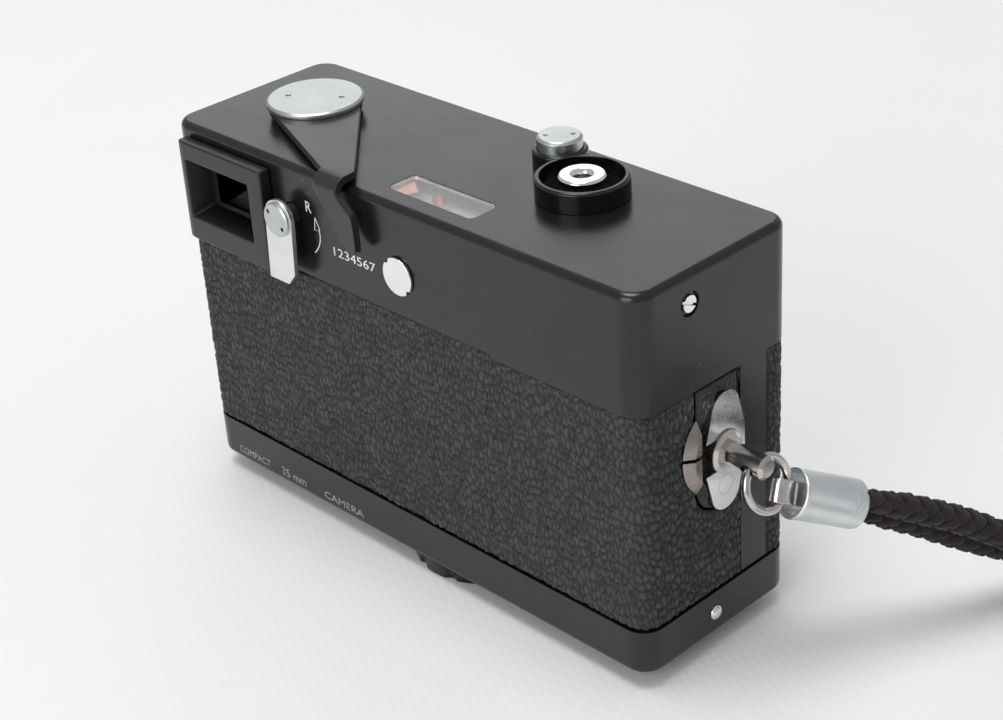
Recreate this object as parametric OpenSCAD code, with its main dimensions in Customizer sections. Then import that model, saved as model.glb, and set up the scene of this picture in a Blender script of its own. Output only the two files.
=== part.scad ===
// Pocket 35 mm viewfinder camera with a collapsible lens and a braided wrist strap.
// Millimetres. Front (lens) faces -Y, top is +Z, the viewfinder is at the +X end.
// Origin: mouth of the tripod socket, which lies in the plane that the camera stands on.

/* [Body] */
// Length of the body
body_w = 98.3; // [98:0.1:98.6]
// Depth of the body without lens and controls
body_d = 32; // [31.8:0.1:32.6]
// Height of the body from the base plate's underside to the top plate
body_h = 60.8; // [60.6:0.1:61.6]
// Radius of the four upright corners
corner_r = 3.6; // [3.4:0.1:4]
// Radius of the edge round the top plate
top_r = 1.2; // [1:0.1:1.6]
// Height of the top cover's lower edge above the base
cover_z = 42.4; // [42.2:0.1:42.6]
// Height of the base plate's wall
tray_h = 7.3; // [7:0.1:7.5]
// Thickness of the grained covering
leather_t = 0.6; // [0.5:0.1:0.6]
// How far the key, the shoe and the crank stand below the base plate
foot = 2.6; // [2.5:0.1:2.8]

/* [Lens] */
// Radius of the collapsible tube
tube_r = 12.5; // [12:0.1:12.6]
// How far the lens mount stands out of the front
mount_t = 2.6; // [2.2:0.1:2.8]
// Radius of the focusing ring over its knurl
focus_r = 15.4; // [15:0.1:15.8]
// Outside radius of the front rim, which takes 24 mm push-on filters
rim_r = 12; // [12:0.1:12]

/* [Controls] */
// Radius of the cap on the wind lever
wind_r = 7.65; // [7.2:0.05:7.8]
// Radius of the collar round the shutter release
collar_r = 6.9; // [6.6:0.1:7]
// Radius of the two dials on the front
dial_r = 10.6; // [10:0.1:10.8]
// Radius of the back-lock key under the base
key_r = 12; // [11:0.1:12.2]

/* [Strap] */
// Diameter of the braided cord
cord_d = 4.4; // [4:0.1:4.4]
// Wire radius of the strap's ring
ring_wire = 0.65; // [0.5:0.05:0.7]
// Radius of the ring's centreline
ring_r = 3.85; // [3.8:0.05:3.9]
// How far the ring hangs outward from straight down, in degrees
ring_swing = 20; // [10:1:30]

/* [Hidden] */

$fn = 64;
eps = 0.01;
gap = 0.1;                 // fit between pieces that only meet
run = 0.05;                // radial clearance of a running fit

// Where the foot of the lens axis lies, seen from the tripod socket.
body_at = [3.5, -3.3, foot];

off_x = 0.65;              // the body's middle, from the lens axis
half_w = body_w / 2 - off_x;        // from the lens axis to the strap end
finder_end = body_w / 2 + off_x;    // from the lens axis to the finder end
half_d = body_d / 2;
wall = 0.9;                // sheet thickness of cover, shell and base plate
shell_in = leather_t + wall;
frame_in = shell_in + 0.3; // what runs inside the removable shell
split_y = -5;              // front edge of the removable shell
strip_y = -10.7;           // rear edge of the front covering
deck_z = 42.9;             // top of the casting's deck
floor_z = 2.9;             // underside of the casting's floor
base_t = 1.2;              // thickness of the base plate
seam = 0.3;                // groove between covering and metal

lens_z = 24.9;             // height of the lens axis
sleeve_l = 6;              // guide sleeve behind the lens mount
mount_r = 15.8;            // radius of the lens mount's flange
travel = 12.5;             // how far the lens pulls out
film_y = 9.6;              // film plane
gate_w = 36;
gate_h = 24;

wind_at = [32.6, 0.5];
sprocket_at = [23, 6];
spool_at = [37, 1];
cassette_at = [-33.8, 1];
cassette_r = 12.8;
release_at = [-21.2, -3.2];
release_h = 3.2;
spring_foot = 54.2;
spring_wire_r = 0.22;
lock_at = [-11.5, -8.8];
lock_base_r = 4.15;
switch_at = [21.2, 52.7];  // x and z of the rewind switch's pivot
switch_r = 3.05;
switch_y = 2.9;            // outer face of the switch, from the back face
switch_t = 0.85;
adjuster_at = [-2.4, 49.6];
meter_at = [-5.8, 9.6];
meter_size = [17.4, 5.4];
finder_x = [25.5, 46];
finder_z = [44.8, 57.6];
bezel_z = [42.2, 58.9];
bezel_r = 4.2;
bezel_turn = 44.3;         // x at which the bezel's outer side starts to round
eye_x = [29, 44.3];
eye_z = [46.2, 55.8];
cell_at = [11, 51.5];      // x and z of the photocell window
dial_x = 31.5;
dial_z = 25.5;
lug_at = [0.1, 31.4];        // y and z of the strap lug
key_at = [-3.5, 3.3];      // tripod socket from the body's middle
crank_at = [-33.8, 1];
shoe_at = [22, 0];
counter_at = [41, 4];
cover_screw_at = [5.6, 56.1];
base_screw_at = [0.9, 3.6];

wind_teeth = 30;
pinion_teeth = 11;
sprocket_teeth = 26;
spool_teeth = 30;

// The strap hangs from a cross hole in the lug's post, turned by hole_turn about the post.
hole_x = -54.8;
hole_turn = 19;
post_end = -57.3;
post_r = 1.8;
hole_r = 1.15;
hook_angle = -30;          // where on the ring the band hooks in, from its lowest point
hole_dir = [0, cos(hole_turn), -sin(hole_turn)];
ring_dir = [-sin(ring_swing), -cos(ring_swing) * sin(hole_turn), -cos(ring_swing) * cos(hole_turn)];
ring_at = [hole_x, lug_at.x, lug_at.y] + ring_r * ring_dir;
hook_at = ring_at + ring_r * (cos(hook_angle) * ring_dir + sin(hook_angle) * hole_dir);
ring_tangent = cos(hook_angle) * hole_dir - sin(hook_angle) * ring_dir;
function unit(v) = v / norm(v);
strap_s = unit([-0.35, -0.83, -0.43]);                // along the strap
strap_w = unit(ring_tangent - (ring_tangent * strap_s) * strap_s);
strap_n = cross(strap_s, strap_w);
ferrule_from = 0.9;        // mouth of the ferrule, from the ring's wire
ferrule_l = 11.1;
ferrule_r = 3.7;
ferrule_cup = 3;           // depth of the mouth that the band enters
band_w = 3.4;
hook_r = 1.25;             // outside radius of the band's hook
wire_room = 0.9;           // inside radius of the band's hook

// Centreline of the cord, from the body's middle: out of the ferrule, down to the
// table, round the open loop and back into the ferrule.
cord_route = [
  [-63.2, -13.8, 22.0], [-64.8, -16.4, 20.8], [-67.4, -21.0, 18.4], [-70.2, -26.0, 15.6],
  [-73.2, -31.0, 12.2], [-76.4, -35.6, 8.6], [-79.8, -39.4, 5.2], [-83.8, -42.4, 2.2],
  [-88.6, -43.8, 0.2], [-93.4, -42.6, -0.4], [-96.8, -38.8, -0.4], [-98.2, -33.0, -0.4],
  [-98.4, -26.4, -0.4], [-98.2, -19.6, -0.4], [-98.0, -12.6, -0.4], [-98.2, -5.4, -0.4],
  [-98.8, 1.6, -0.4], [-101.6, 7.2, -0.4], [-107.0, 10.0, -0.4], [-113.0, 8.6, -0.4],
  [-116.8, 3.6, -0.4], [-118.2, -3.4, -0.4], [-118.6, -10.8, -0.4], [-118.6, -18.2, -0.4],
  [-118.4, -25.6, -0.4], [-117.4, -33.0, -0.4], [-114.8, -40.4, -0.4], [-110.4, -47.0, -0.4],
  [-104.4, -52.2, -0.4], [-97.4, -55.4, -0.4], [-90.2, -55.8, -0.4], [-83.6, -53.2, -0.4],
  [-78.8, -48.0, 0.8], [-75.2, -41.8, 3.4], [-71.8, -35.4, 6.6], [-68.6, -29.4, 10.2],
  [-65.6, -24.2, 13.6], [-62.8, -19.4, 16.4], [-60.2, -14.6, 19.0]];

// ---------- shapes used by several pieces ----------

// Moves a piece from the body's own middle to the frame of the tripod socket.
module in_frame() translate(body_at) children();

// A rectangle with round corners.
module rounded_rect(w, d, r) {
  square([w - 2 * r, d], center = true);
  square([w, d - 2 * r], center = true);
  for (x = [-1, 1], y = [-1, 1])
    translate([x * (w / 2 - r), y * (d / 2 - r)]) circle(r);
}

// The body's plan, shrunk by inset on every side.
module plan(inset) translate([off_x, 0])
  rounded_rect(body_w - 2 * inset, body_d - 2 * inset, corner_r - min(inset, corner_r - 1));

// The x of one of the body's ends; side is -1 or 1.
function end_x(side) = side > 0 ? finder_end : -half_w;

// A slab of the body's plan between two heights.
module slab(z0, z1, inset) translate([0, 0, z0]) linear_extrude(z1 - z0) plan(inset);

// The body's plan with a rounded edge at the top.
module domed_slab(h, r) {
  slab(0, h - r, 0);
  hull() for (a = [0 : 15 : 90])
    translate([0, 0, h - r + r * sin(a) - eps]) linear_extrude(eps) plan(r * (1 - cos(a)));
}

// A box from its two corners.
module block(low, high) translate(low) cube(high - low);

// A cylinder that points to the front; its axis is at x, z.
module to_front(x, z, y0, y1, r, r2 = undef)
  translate([x, y0, z]) rotate([90, 0, 0]) cylinder(h = y0 - y1, r1 = r, r2 = is_undef(r2) ? r : r2);

// The same, for what is measured forward from the front face.
module lens_ring(a0, a1, r, r2 = undef) to_front(0, lens_z, -half_d - a0, -half_d - a1, r, r2);

// A disc with a milled rim.
module milled(r, h, n, depth) linear_extrude(h)
  polygon([for (i = [0 : 4 * n - 1])
    let (a = 90 * i / n, k = i % 4 < 2 ? r : r - depth) [k * cos(a), k * sin(a)]]);

// A spur gear; phase turns it by that share of a tooth.
module gear(teeth, m, h, phase = 0) {
  rp = teeth * m / 2;
  pitch = 360 / teeth;
  marks = [[-0.26, -0.8], [-0.1, 0.55], [0.1, 0.55], [0.26, -0.8]];
  linear_extrude(h) polygon([for (i = [0 : teeth - 1], k = marks)
    let (a = (i + phase + k.x) * pitch, r = rp + k.y * m) [r * cos(a), r * sin(a)]]);
}

// A slotted screw head that faces +X, its slot turned by turn degrees.
module screw(head_r, head_t, shank_r, shank_l, turn = 0) rotate([0, 90, 0]) difference() {
  union() {
    cylinder(h = head_t, r = head_r);
    translate([0, 0, -shank_l]) cylinder(h = shank_l + eps, r = shank_r);
  }
  if (turn >= 0) translate([0, 0, head_t]) rotate(turn)
    cube([3 * head_r, 0.35, 1.4 * head_t], center = true);
}

// A disc of glass between two spherical faces that bulge by b0 and b1.
module lens_element(r, t, b0, b1) {
  steps = 6;
  rotate_extrude() polygon(concat(
    [[0, -b0]],
    [for (i = [1 : steps]) [r * i / steps, -b0 * (1 - pow(i / steps, 2))]],
    [for (i = [steps : -1 : 0]) [r * i / steps, t + b1 * (1 - pow(i / steps, 2))]]));
}

// Columns of a frame at a point, for multmatrix().
function placed(u, v, n, p) =
  [[u.x, v.x, n.x, p.x], [u.y, v.y, n.y, p.y], [u.z, v.z, n.z, p.z], [0, 0, 0, 1]];

// Places a piece that is drawn along the strap: x along it, y across, z through it.
module on_strap(along)
  multmatrix(placed(strap_s, strap_w, strap_n, hook_at + along * strap_s)) children();

// ---------- casting, chambers and covering ----------

module casting_colour() color([0.13, 0.13, 0.135]) children();

module front_casting() casting_colour() in_frame() difference() {
  union() {
    difference() {
      union() {
        slab(tray_h + seam, cover_z - gap, 0.3);
        slab(floor_z, deck_z, frame_in);
      }
      slab(floor_z + 1.3, cover_z - 1.4, 3.4);
      // the removable shell runs down over everything behind split_y
      difference() {
        block([-body_w, split_y, 0], [body_w, body_d, body_h]);
        slab(0, body_h, frame_in);
      }
      // seat of the front covering
      intersection() {
        block([-body_w, -body_d, tray_h + seam], [body_w, strip_y, cover_z]);
        difference() {
          slab(0, body_h, -1);
          slab(0, body_h, leather_t + gap);
        }
      }
      // open back
      block([-half_w + 3.4, film_y - 1, floor_z + 1.3], [half_w - 3.4, half_d, cover_z - 1.4]);
    }
    // front wall behind the lens and the dials
    block([-45, -half_d + wall + gap, floor_z + 1], [45, -half_d + 3.2, cover_z - 1]);
    // pad that carries the strap lug through the shell's notch
    block([-half_w + 0.4, lug_at.x - 4.3, lug_at.y - 5.4], [-half_w + 2.5, lug_at.x + 4.3, cover_z - 0.6]);
    translate([-half_w + 0.4, lug_at.x, lug_at.y - 5.4]) rotate([0, 90, 0]) cylinder(h = 2.1, r = 4.3);
  }
  lens_ring(-20, 1, 14.6 + gap);
  for (x = [-1, 1]) to_front(x * dial_x, dial_z, 0, -half_d - 1, 2.2);
  translate([cassette_at.x, cassette_at.y, floor_z - 1]) cylinder(h = 4, r = 3);
  translate([cassette_at.x, cassette_at.y, cover_z - 2]) cylinder(h = 4, r = cassette_r + 1);
  translate([sprocket_at.x, sprocket_at.y, cover_z - 2]) cylinder(h = 4, r = 1.6);
  translate([spool_at.x, spool_at.y, cover_z - 2]) cylinder(h = 4, r = 2.4);
  translate([counter_at.x, counter_at.y, floor_z - 1]) cylinder(h = 4, r = 1);
  for (z = [-5.5, 5.5]) translate([-half_w, lug_at.x, lug_at.y + z]) rotate([0, 90, 0])
    cylinder(h = 8, r = 0.9, center = true);
  translate([-half_w, lug_at.x, lug_at.y]) rotate([0, 90, 0])
    cylinder(h = 2.6, r = post_r + gap, center = true);
}

module chamber(at, r, t, z0, z1) translate([at.x, at.y, z0]) difference() {
  cylinder(h = z1 - z0, r = r + t);
  translate([0, 0, -1]) cylinder(h = z1 - z0 + 2, r = r);
}

module film_chassis() casting_colour() in_frame() {
  z0 = floor_z + 1.4;
  z1 = cover_z - 1.5;
  difference() {
    union() {
      // gate plate with its two film rails
      block([-19.9, film_y - 1.5, z0], [18, film_y - 0.2, z1]);
      for (z = [lens_z - gate_h / 2 - 1.6, lens_z + gate_h / 2 + 0.4])
        block([-19.9, film_y - 0.3, z], [18, film_y, z + 1.2]);
      // walls of the film chambers, open to the back
      intersection() {
        union() {
          chamber(cassette_at, cassette_r, 0.7, z0, z1);
          chamber(spool_at, 8.6, 0.7, z0, z1);
        }
        block([-half_w + 3.5, -half_d + 3.5, z0 - 1], [half_w - 3.5, film_y - 1.4, z1 + 1]);
      }
      // the cassette's spool end reaches up into the top cover
      translate([cassette_at.x, cassette_at.y, z1 + gap]) difference() {
        cylinder(h = 54 - z1, r = cassette_r + 0.6);
        translate([0, 0, -1]) cylinder(h = 54 - z1, r = cassette_r);
      }
    }
    block([-gate_w / 2, film_y - 3, lens_z - gate_h / 2], [gate_w / 2, film_y + 1, lens_z + gate_h / 2]);
    // path of the film out of the cassette and on to the spool
    block([-23, film_y - 2.6, z0 + 0.8], [-19.9, film_y + 1, z1 - 0.8]);
    // the retracted tube needs the middle of the body
    lens_ring(-half_d, 1, 14.6);
  }
}

module leather_colour() color([0.07, 0.07, 0.075]) children();

module front_leather() leather_colour() in_frame() difference() {
  intersection() {
    slab(tray_h + seam, cover_z - gap, 0);
    block([-body_w, -body_d, 0], [body_w, strip_y - gap, body_h]);
  }
  slab(0, body_h, leather_t);
  lens_ring(-3, 1, mount_r + gap);
  for (x = [-1, 1]) to_front(x * dial_x, dial_z, 0, -half_d - 1, dial_r + 0.8 + gap);
}

// ---------- top cover and what sits in it ----------

module top_cover() color([0.1, 0.1, 0.105]) in_frame() difference() {
  intersection() {
    domed_slab(body_h, top_r);
    block([-body_w, -body_d, cover_z], [body_w, body_d, body_h + 1]);
  }
  slab(cover_z - 1, body_h - wall, wall);
  // shallow step in the rear lower edge
  block([-20.5, half_d - 2, cover_z - 1], [24.5, half_d + 1, cover_z + 0.6]);
  // controls on the top
  translate([wind_at.x, wind_at.y, body_h - 2]) cylinder(h = 4, r = 3.1);
  translate([release_at.x, release_at.y, body_h - 2]) cylinder(h = 4, r = 4.3);
  translate([lock_at.x, lock_at.y, body_h - 2]) cylinder(h = 4, r = 3.9);
  translate([meter_at.x, meter_at.y, body_h - 2]) linear_extrude(4)
    rounded_rect(meter_size.x + 2 * gap, meter_size.y + 2 * gap, 1.2);
  // finder, photocell, switch and adjuster
  block([finder_x.x + 1, half_d - 2, finder_z.x + 0.3], [finder_x.y - 1, half_d + 1, finder_z.y]);
  block([27.5, -half_d - 1, 45.3], [45, -half_d + 2, 57.3]);
  to_front(cell_at.x, cell_at.y, -half_d + 2, -half_d - 1, 4.3);
  to_front(switch_at.x, switch_at.y, half_d + 1, half_d - 2, 1.8);
  to_front(adjuster_at.x, adjuster_at.y, half_d + 1, half_d - 2, 2);
  // screws in the two ends
  for (x = [-1, 1]) translate([end_x(x), cover_screw_at.x, cover_screw_at.y]) rotate([0, 90, 0]) {
    cylinder(h = 4, r = 0.95, center = true);
    translate([0, 0, x > 0 ? -0.45 : -1]) cylinder(h = 1.45, r = 1.85);
  }
}

module cover_screws() color("silver") in_frame() for (x = [-1, 1])
  translate([end_x(x) - 0.4 * x, cover_screw_at.x, cover_screw_at.y])
    mirror([x < 0 ? 1 : 0, 0, 0]) screw(1.25, 0.45, 0.85, 1.8, 113);

module finder_bezel() color([0.08, 0.08, 0.085]) in_frame() difference() {
  union() {
    block([finder_x.x, half_d + gap, bezel_z.x], [finder_x.y, half_d + 2.3, bezel_z.y]);
    block([finder_x.x + 1.1, half_d - 1.6, finder_z.x + 0.4],
      [finder_x.y - 1.1, half_d + 0.5, finder_z.y - 0.1]);
  }
  block([eye_x.x, half_d - 3, eye_z.x], [eye_x.y, half_d + 3, eye_z.y]);
  // the outer side is rounded like the body's corner
  difference() {
    block([bezel_turn, half_d - 2, 0], [finder_end, half_d + 4, body_h]);
    translate([bezel_turn, half_d + 2.3 - bezel_r, 0]) cylinder(h = body_h, r = bezel_r);
    block([bezel_turn - 1, half_d - 3, 0], [finder_x.y + eps, half_d + 2.3 - 0.9, body_h]);
  }
}

module finder_housing() color([0.06, 0.06, 0.065]) in_frame() {
  difference() {
    block([26, -half_d + 1.2, finder_z.x], [finder_x.y, half_d - 1.8, finder_z.y]);
    block([27, -half_d, finder_z.x + 0.8], [finder_x.y - 1, half_d, finder_z.y - 0.8]);
  }
  // front frame
  difference() {
    block([27.6, -half_d - 0.5, 45.4], [44.9, -half_d + 1.1, 57.2]);
    block([29.2, -half_d - 2, 46.8], [43.4, -half_d + 2, 55.9]);
  }
}

module finder_glass() color([0.5, 0.6, 0.7, 0.5]) in_frame() {
  block([29.3, -half_d + 0.1, 46.9], [43.3, -half_d + 1, 55.8]);
  block([27.1, half_d - 6.2, 45.7], [44.9, half_d - 4.8, 56.7]);
}

module meter_window() color([0.8, 0.85, 0.9, 0.4]) in_frame()
  translate([meter_at.x, meter_at.y, body_h - wall]) linear_extrude(wall - 0.05)
    rounded_rect(meter_size.x, meter_size.y, 1.1);

// Galvanometer box with the two-tone scale under the window.
module meter_movement() color([0.75, 0.75, 0.72]) in_frame() {
  block([-15.2, 4.2, 50], [3.6, 14.2, 57]);
  block([-14.6, 6, 57 + gap], [3.4, 13.2, 57.4]);
}

module needle(x, y, angle, z) translate([x, y, z]) rotate(angle) {
  translate([0, 0, -0.1]) cylinder(h = 0.5, r = 0.9);
  translate([0, -0.3, 0]) cube([8, 0.6, 0.3]);
}
module meter_needle() color([0.9, 0.5, 0.4]) in_frame() needle(-2.2, 7.2, 128, 57.7);
module match_needle() color([0.85, 0.45, 0.35]) in_frame() needle(-8.4, 12, -38, 58.4);

module photocell_window() color([0.7, 0.72, 0.65]) in_frame() {
  to_front(cell_at.x, cell_at.y, -half_d + 1, -half_d - 0.4, 4.2);
  to_front(cell_at.x, cell_at.y, -half_d + 5, -half_d + 1.1, 3.6);
}

module battery() color("silver") in_frame() translate([10, -2, 44.2]) {
  cylinder(h = 2.8, r = 7.7);
  translate([0, 0, 2.8]) cylinder(h = 3.2, r = 6.4);
}

module adjuster_cover() color("silver") in_frame() difference() {
  union() {
    to_front(adjuster_at.x, adjuster_at.y, half_d + 0.55, half_d + gap, 3);
    to_front(adjuster_at.x, adjuster_at.y, half_d + 0.3, half_d - 1.6, 1.9);
  }
  for (s = [-1, 1]) translate([adjuster_at.x + 2.25 * s, half_d + 0.3, adjuster_at.y + 2.25 * s])
    rotate([90, 0, 0]) cylinder(h = 1.4, r = 0.55, center = true);
}

module release_collar() color([0.03, 0.03, 0.03]) in_frame()
  translate([release_at.x, release_at.y, body_h + eps])
  difference() {
    union() {
      cylinder(h = release_h - 0.3, r = collar_r);
      translate([0, 0, release_h - 0.3]) cylinder(h = 0.3, r1 = collar_r, r2 = collar_r - 0.3);
      translate([0, 0, -1.6]) cylinder(h = 1.7, r = 4.2);
    }
    translate([0, 0, 0.6]) cylinder(h = release_h, r = collar_r - 0.8);
    translate([0, 0, -2]) cylinder(h = release_h + 2, r = 3.6);
  }

module release_button() color("silver") in_frame() translate([release_at.x, release_at.y, body_h])
  difference() {
    union() {
      translate([0, 0, -1.4]) cylinder(h = release_h + 1.2, r = 3.5);
      translate([0, 0, release_h - 0.2]) cylinder(h = 0.3, r1 = 3.5, r2 = 3.2);
      translate([0, 0, -4.6]) cylinder(h = 3.4, r = 1.5);
    }
    translate([0, 0, release_h - 3.5]) cylinder(h = 4, r = 1.3);
    translate([0, 0, release_h - 0.5]) cylinder(h = 0.7, r1 = 1.3, r2 = 1.8);
  }

// Coil spring from the film chassis up to the release, drawn as its stack of turns.
module release_spring() color("gray") in_frame()
  translate([release_at.x, release_at.y, spring_foot + spring_wire_r])
    for (i = [0 : 4]) translate([0, 0, 1.18 * i])
      rotate_extrude() translate([2.3, 0]) circle(r = spring_wire_r, $fn = 24);

module lock_collar() color([0.03, 0.03, 0.03]) in_frame() translate([lock_at.x, lock_at.y, body_h + eps])
  difference() {
    union() {
      cylinder(h = 2.5, r = lock_base_r);
      translate([0, 0, 2.5]) cylinder(h = 0.3, r1 = lock_base_r, r2 = lock_base_r - 0.3);
      translate([0, 0, -1.6]) cylinder(h = 1.7, r = 3.8);
    }
    translate([0, 0, -3]) cylinder(h = 8, r = 3.5);
  }

module lock_button() color("silver") in_frame() translate([lock_at.x, lock_at.y, body_h]) difference() {
  union() {
    translate([0, 0, -1.2]) cylinder(h = 5.55, r = 3.42);
    translate([0, 0, 4.35]) cylinder(h = 0.4, r1 = 3.42, r2 = 3.05);
    translate([0, 0, -8]) cylinder(h = 7, r = 1.4);
  }
  for (s = [-1, 1]) rotate(45) translate([2 * s, 0, 4.35]) cylinder(h = 2, r = 0.35, center = true);
}

// ---------- film transport ----------

module wind_lever() color([0.09, 0.09, 0.095]) in_frame() {
  arm_z = body_h + 0.7;
  translate([0, 0, arm_z]) linear_extrude(1.2) {
    translate(wind_at) circle(wind_r - 0.35);
    polygon([[34, 7.6], [12.6, 16.6], [12.2, 18.6], [7.4, 18.6], [7.4, 14.4], [25.8, -1.9]]);
  }
  // finger tab bent down over the rear edge
  translate([0, 18.6, 0]) rotate([90, 0, 0]) linear_extrude(1.3)
    polygon([[12.2, arm_z + 0.6], [7.4, arm_z + 0.6], [7.2, 60.2], [3.3, 59.2], [2.6, 53.4],
      [7.4, 52.5], [9.3, 55.5], [11.4, 60.2]]);
}

module wind_cap() color("silver") in_frame()
  translate([wind_at.x, wind_at.y, body_h + 1.9 + eps]) difference() {
  union() {
    cylinder(h = 0.7, r = wind_r);
    translate([0, 0, 0.7]) cylinder(h = 0.25, r1 = wind_r, r2 = wind_r - 0.35);
  }
  for (s = [-1, 1]) rotate(33) translate([4.35 * s, 0, 0.9]) cylinder(h = 1.2, r = 0.45, center = true);
}

wind_module = 2 * norm(sprocket_at - wind_at) / (wind_teeth + pinion_teeth);
spool_module = 2 * norm(spool_at - sprocket_at) / (sprocket_teeth + spool_teeth);
function bearing(a, b) = atan2(b.y - a.y, b.x - a.x);

// Turns a gear so that a tooth, or a gap, looks along the line of centres.
module meshed(at, other, teeth, m, h, on_gap) translate([at.x, at.y, 0])
  rotate(bearing(at, other)) gear(teeth, m, h, on_gap ? 0.5 : 0);

module wind_gear() color("gold") in_frame() {
  translate([0, 0, 58.1]) meshed(wind_at, sprocket_at, wind_teeth, wind_module, 1.2, false);
  translate([wind_at.x, wind_at.y, 57.8]) cylinder(h = body_h + 0.7 - 57.8 - eps, r = 3);
}

module sprocket() color("silver") in_frame() {
  translate([0, 0, 58]) meshed(sprocket_at, wind_at, pinion_teeth, wind_module, 1.4, true);
  translate([0, 0, 43.2]) meshed(sprocket_at, spool_at, sprocket_teeth, spool_module, 1.1, false);
  translate([sprocket_at.x, sprocket_at.y, floor_z + 1.4]) {
    cylinder(h = 58 + 0.1 - floor_z - 1.4, r = 1.2);
    for (z = [4.6, 32.6]) translate([0, 0, z]) milled(3.6, 1.8, 8, 0.7);
    translate([0, 0, 4]) cylinder(h = 31, r = 2.4);
  }
}

module take_up_spool() color([0.15, 0.15, 0.16]) in_frame() {
  translate([0, 0, 43.2]) meshed(spool_at, sprocket_at, spool_teeth, spool_module, 1.1, true);
  translate([spool_at.x, spool_at.y, floor_z + 1.5]) difference() {
    union() {
      cylinder(h = 43.3 - floor_z - 1.5, r = 2);
      translate([0, 0, 1]) cylinder(h = 34, r = 5.5);
      for (z = [1, 34]) translate([0, 0, z]) cylinder(h = 1.2, r = 7.6);
    }
    translate([0, -0.4, 6]) cube([8, 0.8, 24]);
  }
}

module rewind_switch() color("silver") in_frame() {
  translate([0, half_d + switch_y, 0]) rotate([90, 0, 0]) linear_extrude(switch_t) {
    translate(switch_at) circle(switch_r);
    polygon([[switch_at.x - switch_r, switch_at.y], [18.7, 43.9], [20.3, 42], [24.8, 42],
      [switch_at.x + switch_r, switch_at.y]]);
  }
  to_front(switch_at.x, switch_at.y, half_d + switch_y - 0.2, 9.8, 1.6);
}

module switch_cap() color("silver") in_frame() difference() {
  union() {
    to_front(switch_at.x, switch_at.y, half_d + switch_y + 0.36, half_d + switch_y + eps, 2.75);
    to_front(switch_at.x, switch_at.y, half_d + switch_y + 0.55, half_d + switch_y + 0.35, 2.5, 2.75);
  }
  for (s = [-1, 1]) translate([switch_at.x + 1.5 * s, half_d + switch_y + 0.5, switch_at.y + 1.1 * s])
    rotate([90, 0, 0]) cylinder(h = 0.6, r = 0.35, center = true);
}

// ---------- lens ----------

module lens_mount() color([0.82, 0.82, 0.84]) in_frame() difference() {
  union() {
    lens_ring(0, 1.4, mount_r);
    lens_ring(1.4 - eps, mount_t, mount_r - 0.5, mount_r - 1.6);
    lens_ring(-sleeve_l, eps, 14.5);
  }
  lens_ring(-sleeve_l - 1, mount_t + 1, tube_r + run);
}

module lens_carriage() color([0.5, 0.5, 0.52]) in_frame() difference() {
  lens_ring(-16, -14.1, tube_r);
  lens_ring(-17, -13, 10.8 + run);
}

module lens_tube() color([0.85, 0.85, 0.87]) in_frame() difference() {
  union() {
    lens_ring(-14, 3.5, tube_r);
    lens_ring(-15.9, -13.9, 10.8);
    lens_ring(3.4, 8.3, tube_r - 0.9);
  }
  lens_ring(-17, 0.5, 9.8);
  lens_ring(0.4, 9, 11 + run);
}

// Shutter housing with five closed blades and the iris behind them.
module shutter_unit() color([0.2, 0.2, 0.21]) in_frame() {
  difference() {
    lens_ring(-8, 0.3, 9.7);
    lens_ring(-9, 1, 6.2);
  }
  for (i = [0 : 4]) translate([0, -half_d + 3.6, lens_z]) rotate([90, 0, 0]) rotate(72 * i)
    linear_extrude(0.2) polygon([[0.05, 0.05], [6.1, 0.05], [6.1 * cos(71), 6.1 * sin(71)]]);
}

module rear_lens() color([0.5, 0.55, 0.65, 0.5]) in_frame()
  translate([0, -half_d + 6.6, lens_z]) rotate([90, 0, 0]) lens_element(6.1, 1.4, 0.6, 0.2);

module focus_ring() color([0.85, 0.85, 0.87]) in_frame() difference() {
  translate([0, -half_d - 3.7, lens_z]) rotate([90, 0, 0]) union() {
    milled(focus_r, 3.4, 60, 0.35);
    translate([0, 0, 3.3]) cylinder(h = 1.3, r1 = focus_r - 0.5, r2 = 13.6);
  }
  lens_ring(3, 9, tube_r - 0.9 + run);
}

module front_cell() color([0.07, 0.07, 0.075]) in_frame() difference() {
  union() {
    lens_ring(0.7, 8.7, 11);
    lens_ring(8.6, 11.3, rim_r);
  }
  lens_ring(0.4, 12, 6.4);
  lens_ring(6.6, 12, 7.4, 9.2);
  lens_ring(8.9, 12, 10.6);
}

module front_lens() color([0.45, 0.4, 0.6, 0.5]) in_frame() {
  translate([0, -half_d - 4.8, lens_z]) rotate([90, 0, 0]) lens_element(6.3, 1.7, 0.1, 0.9);
  translate([0, -half_d - 1.8, lens_z]) rotate([90, 0, 0]) lens_element(6.3, 1.2, -0.5, -0.4);
}

// ---------- dials on the front ----------

module dial_bases() color([0.82, 0.82, 0.84]) in_frame() for (x = [-1, 1]) difference() {
  to_front(x * dial_x, dial_z, -half_d + 0.6, -half_d - 0.8, dial_r + 0.8);
  to_front(x * dial_x, dial_z, 0, -half_d - 2, 2.1);
}

module dial(x) difference() {
  union() {
    translate([x, -half_d - 0.9, dial_z]) rotate([90, 0, 0]) {
      milled(dial_r, 3, 48, 0.3);
      translate([0, 0, 2.9]) cylinder(h = 1.1, r1 = dial_r - 0.4, r2 = 8.4);
    }
    to_front(x, dial_z, -half_d + 3.3, -half_d - 1, 2);
  }
  to_front(x, dial_z, -half_d - 4, -half_d - 6, 6.8);
}
module dial_insert(x) {
  to_front(x, dial_z, -half_d - 4.1, -half_d - 4.7, 6.7);
  translate([x, -half_d - 5.1, dial_z]) cube([9, 0.9, 1], center = true);
}
module speed_dial() color([0.1, 0.1, 0.105]) in_frame() dial(-dial_x);
module film_reminder() color("silver") in_frame() dial_insert(-dial_x);
module aperture_dial() color([0.1, 0.1, 0.105]) in_frame() dial(dial_x);
module film_speed_disc() color("silver") in_frame() dial_insert(dial_x);

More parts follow.
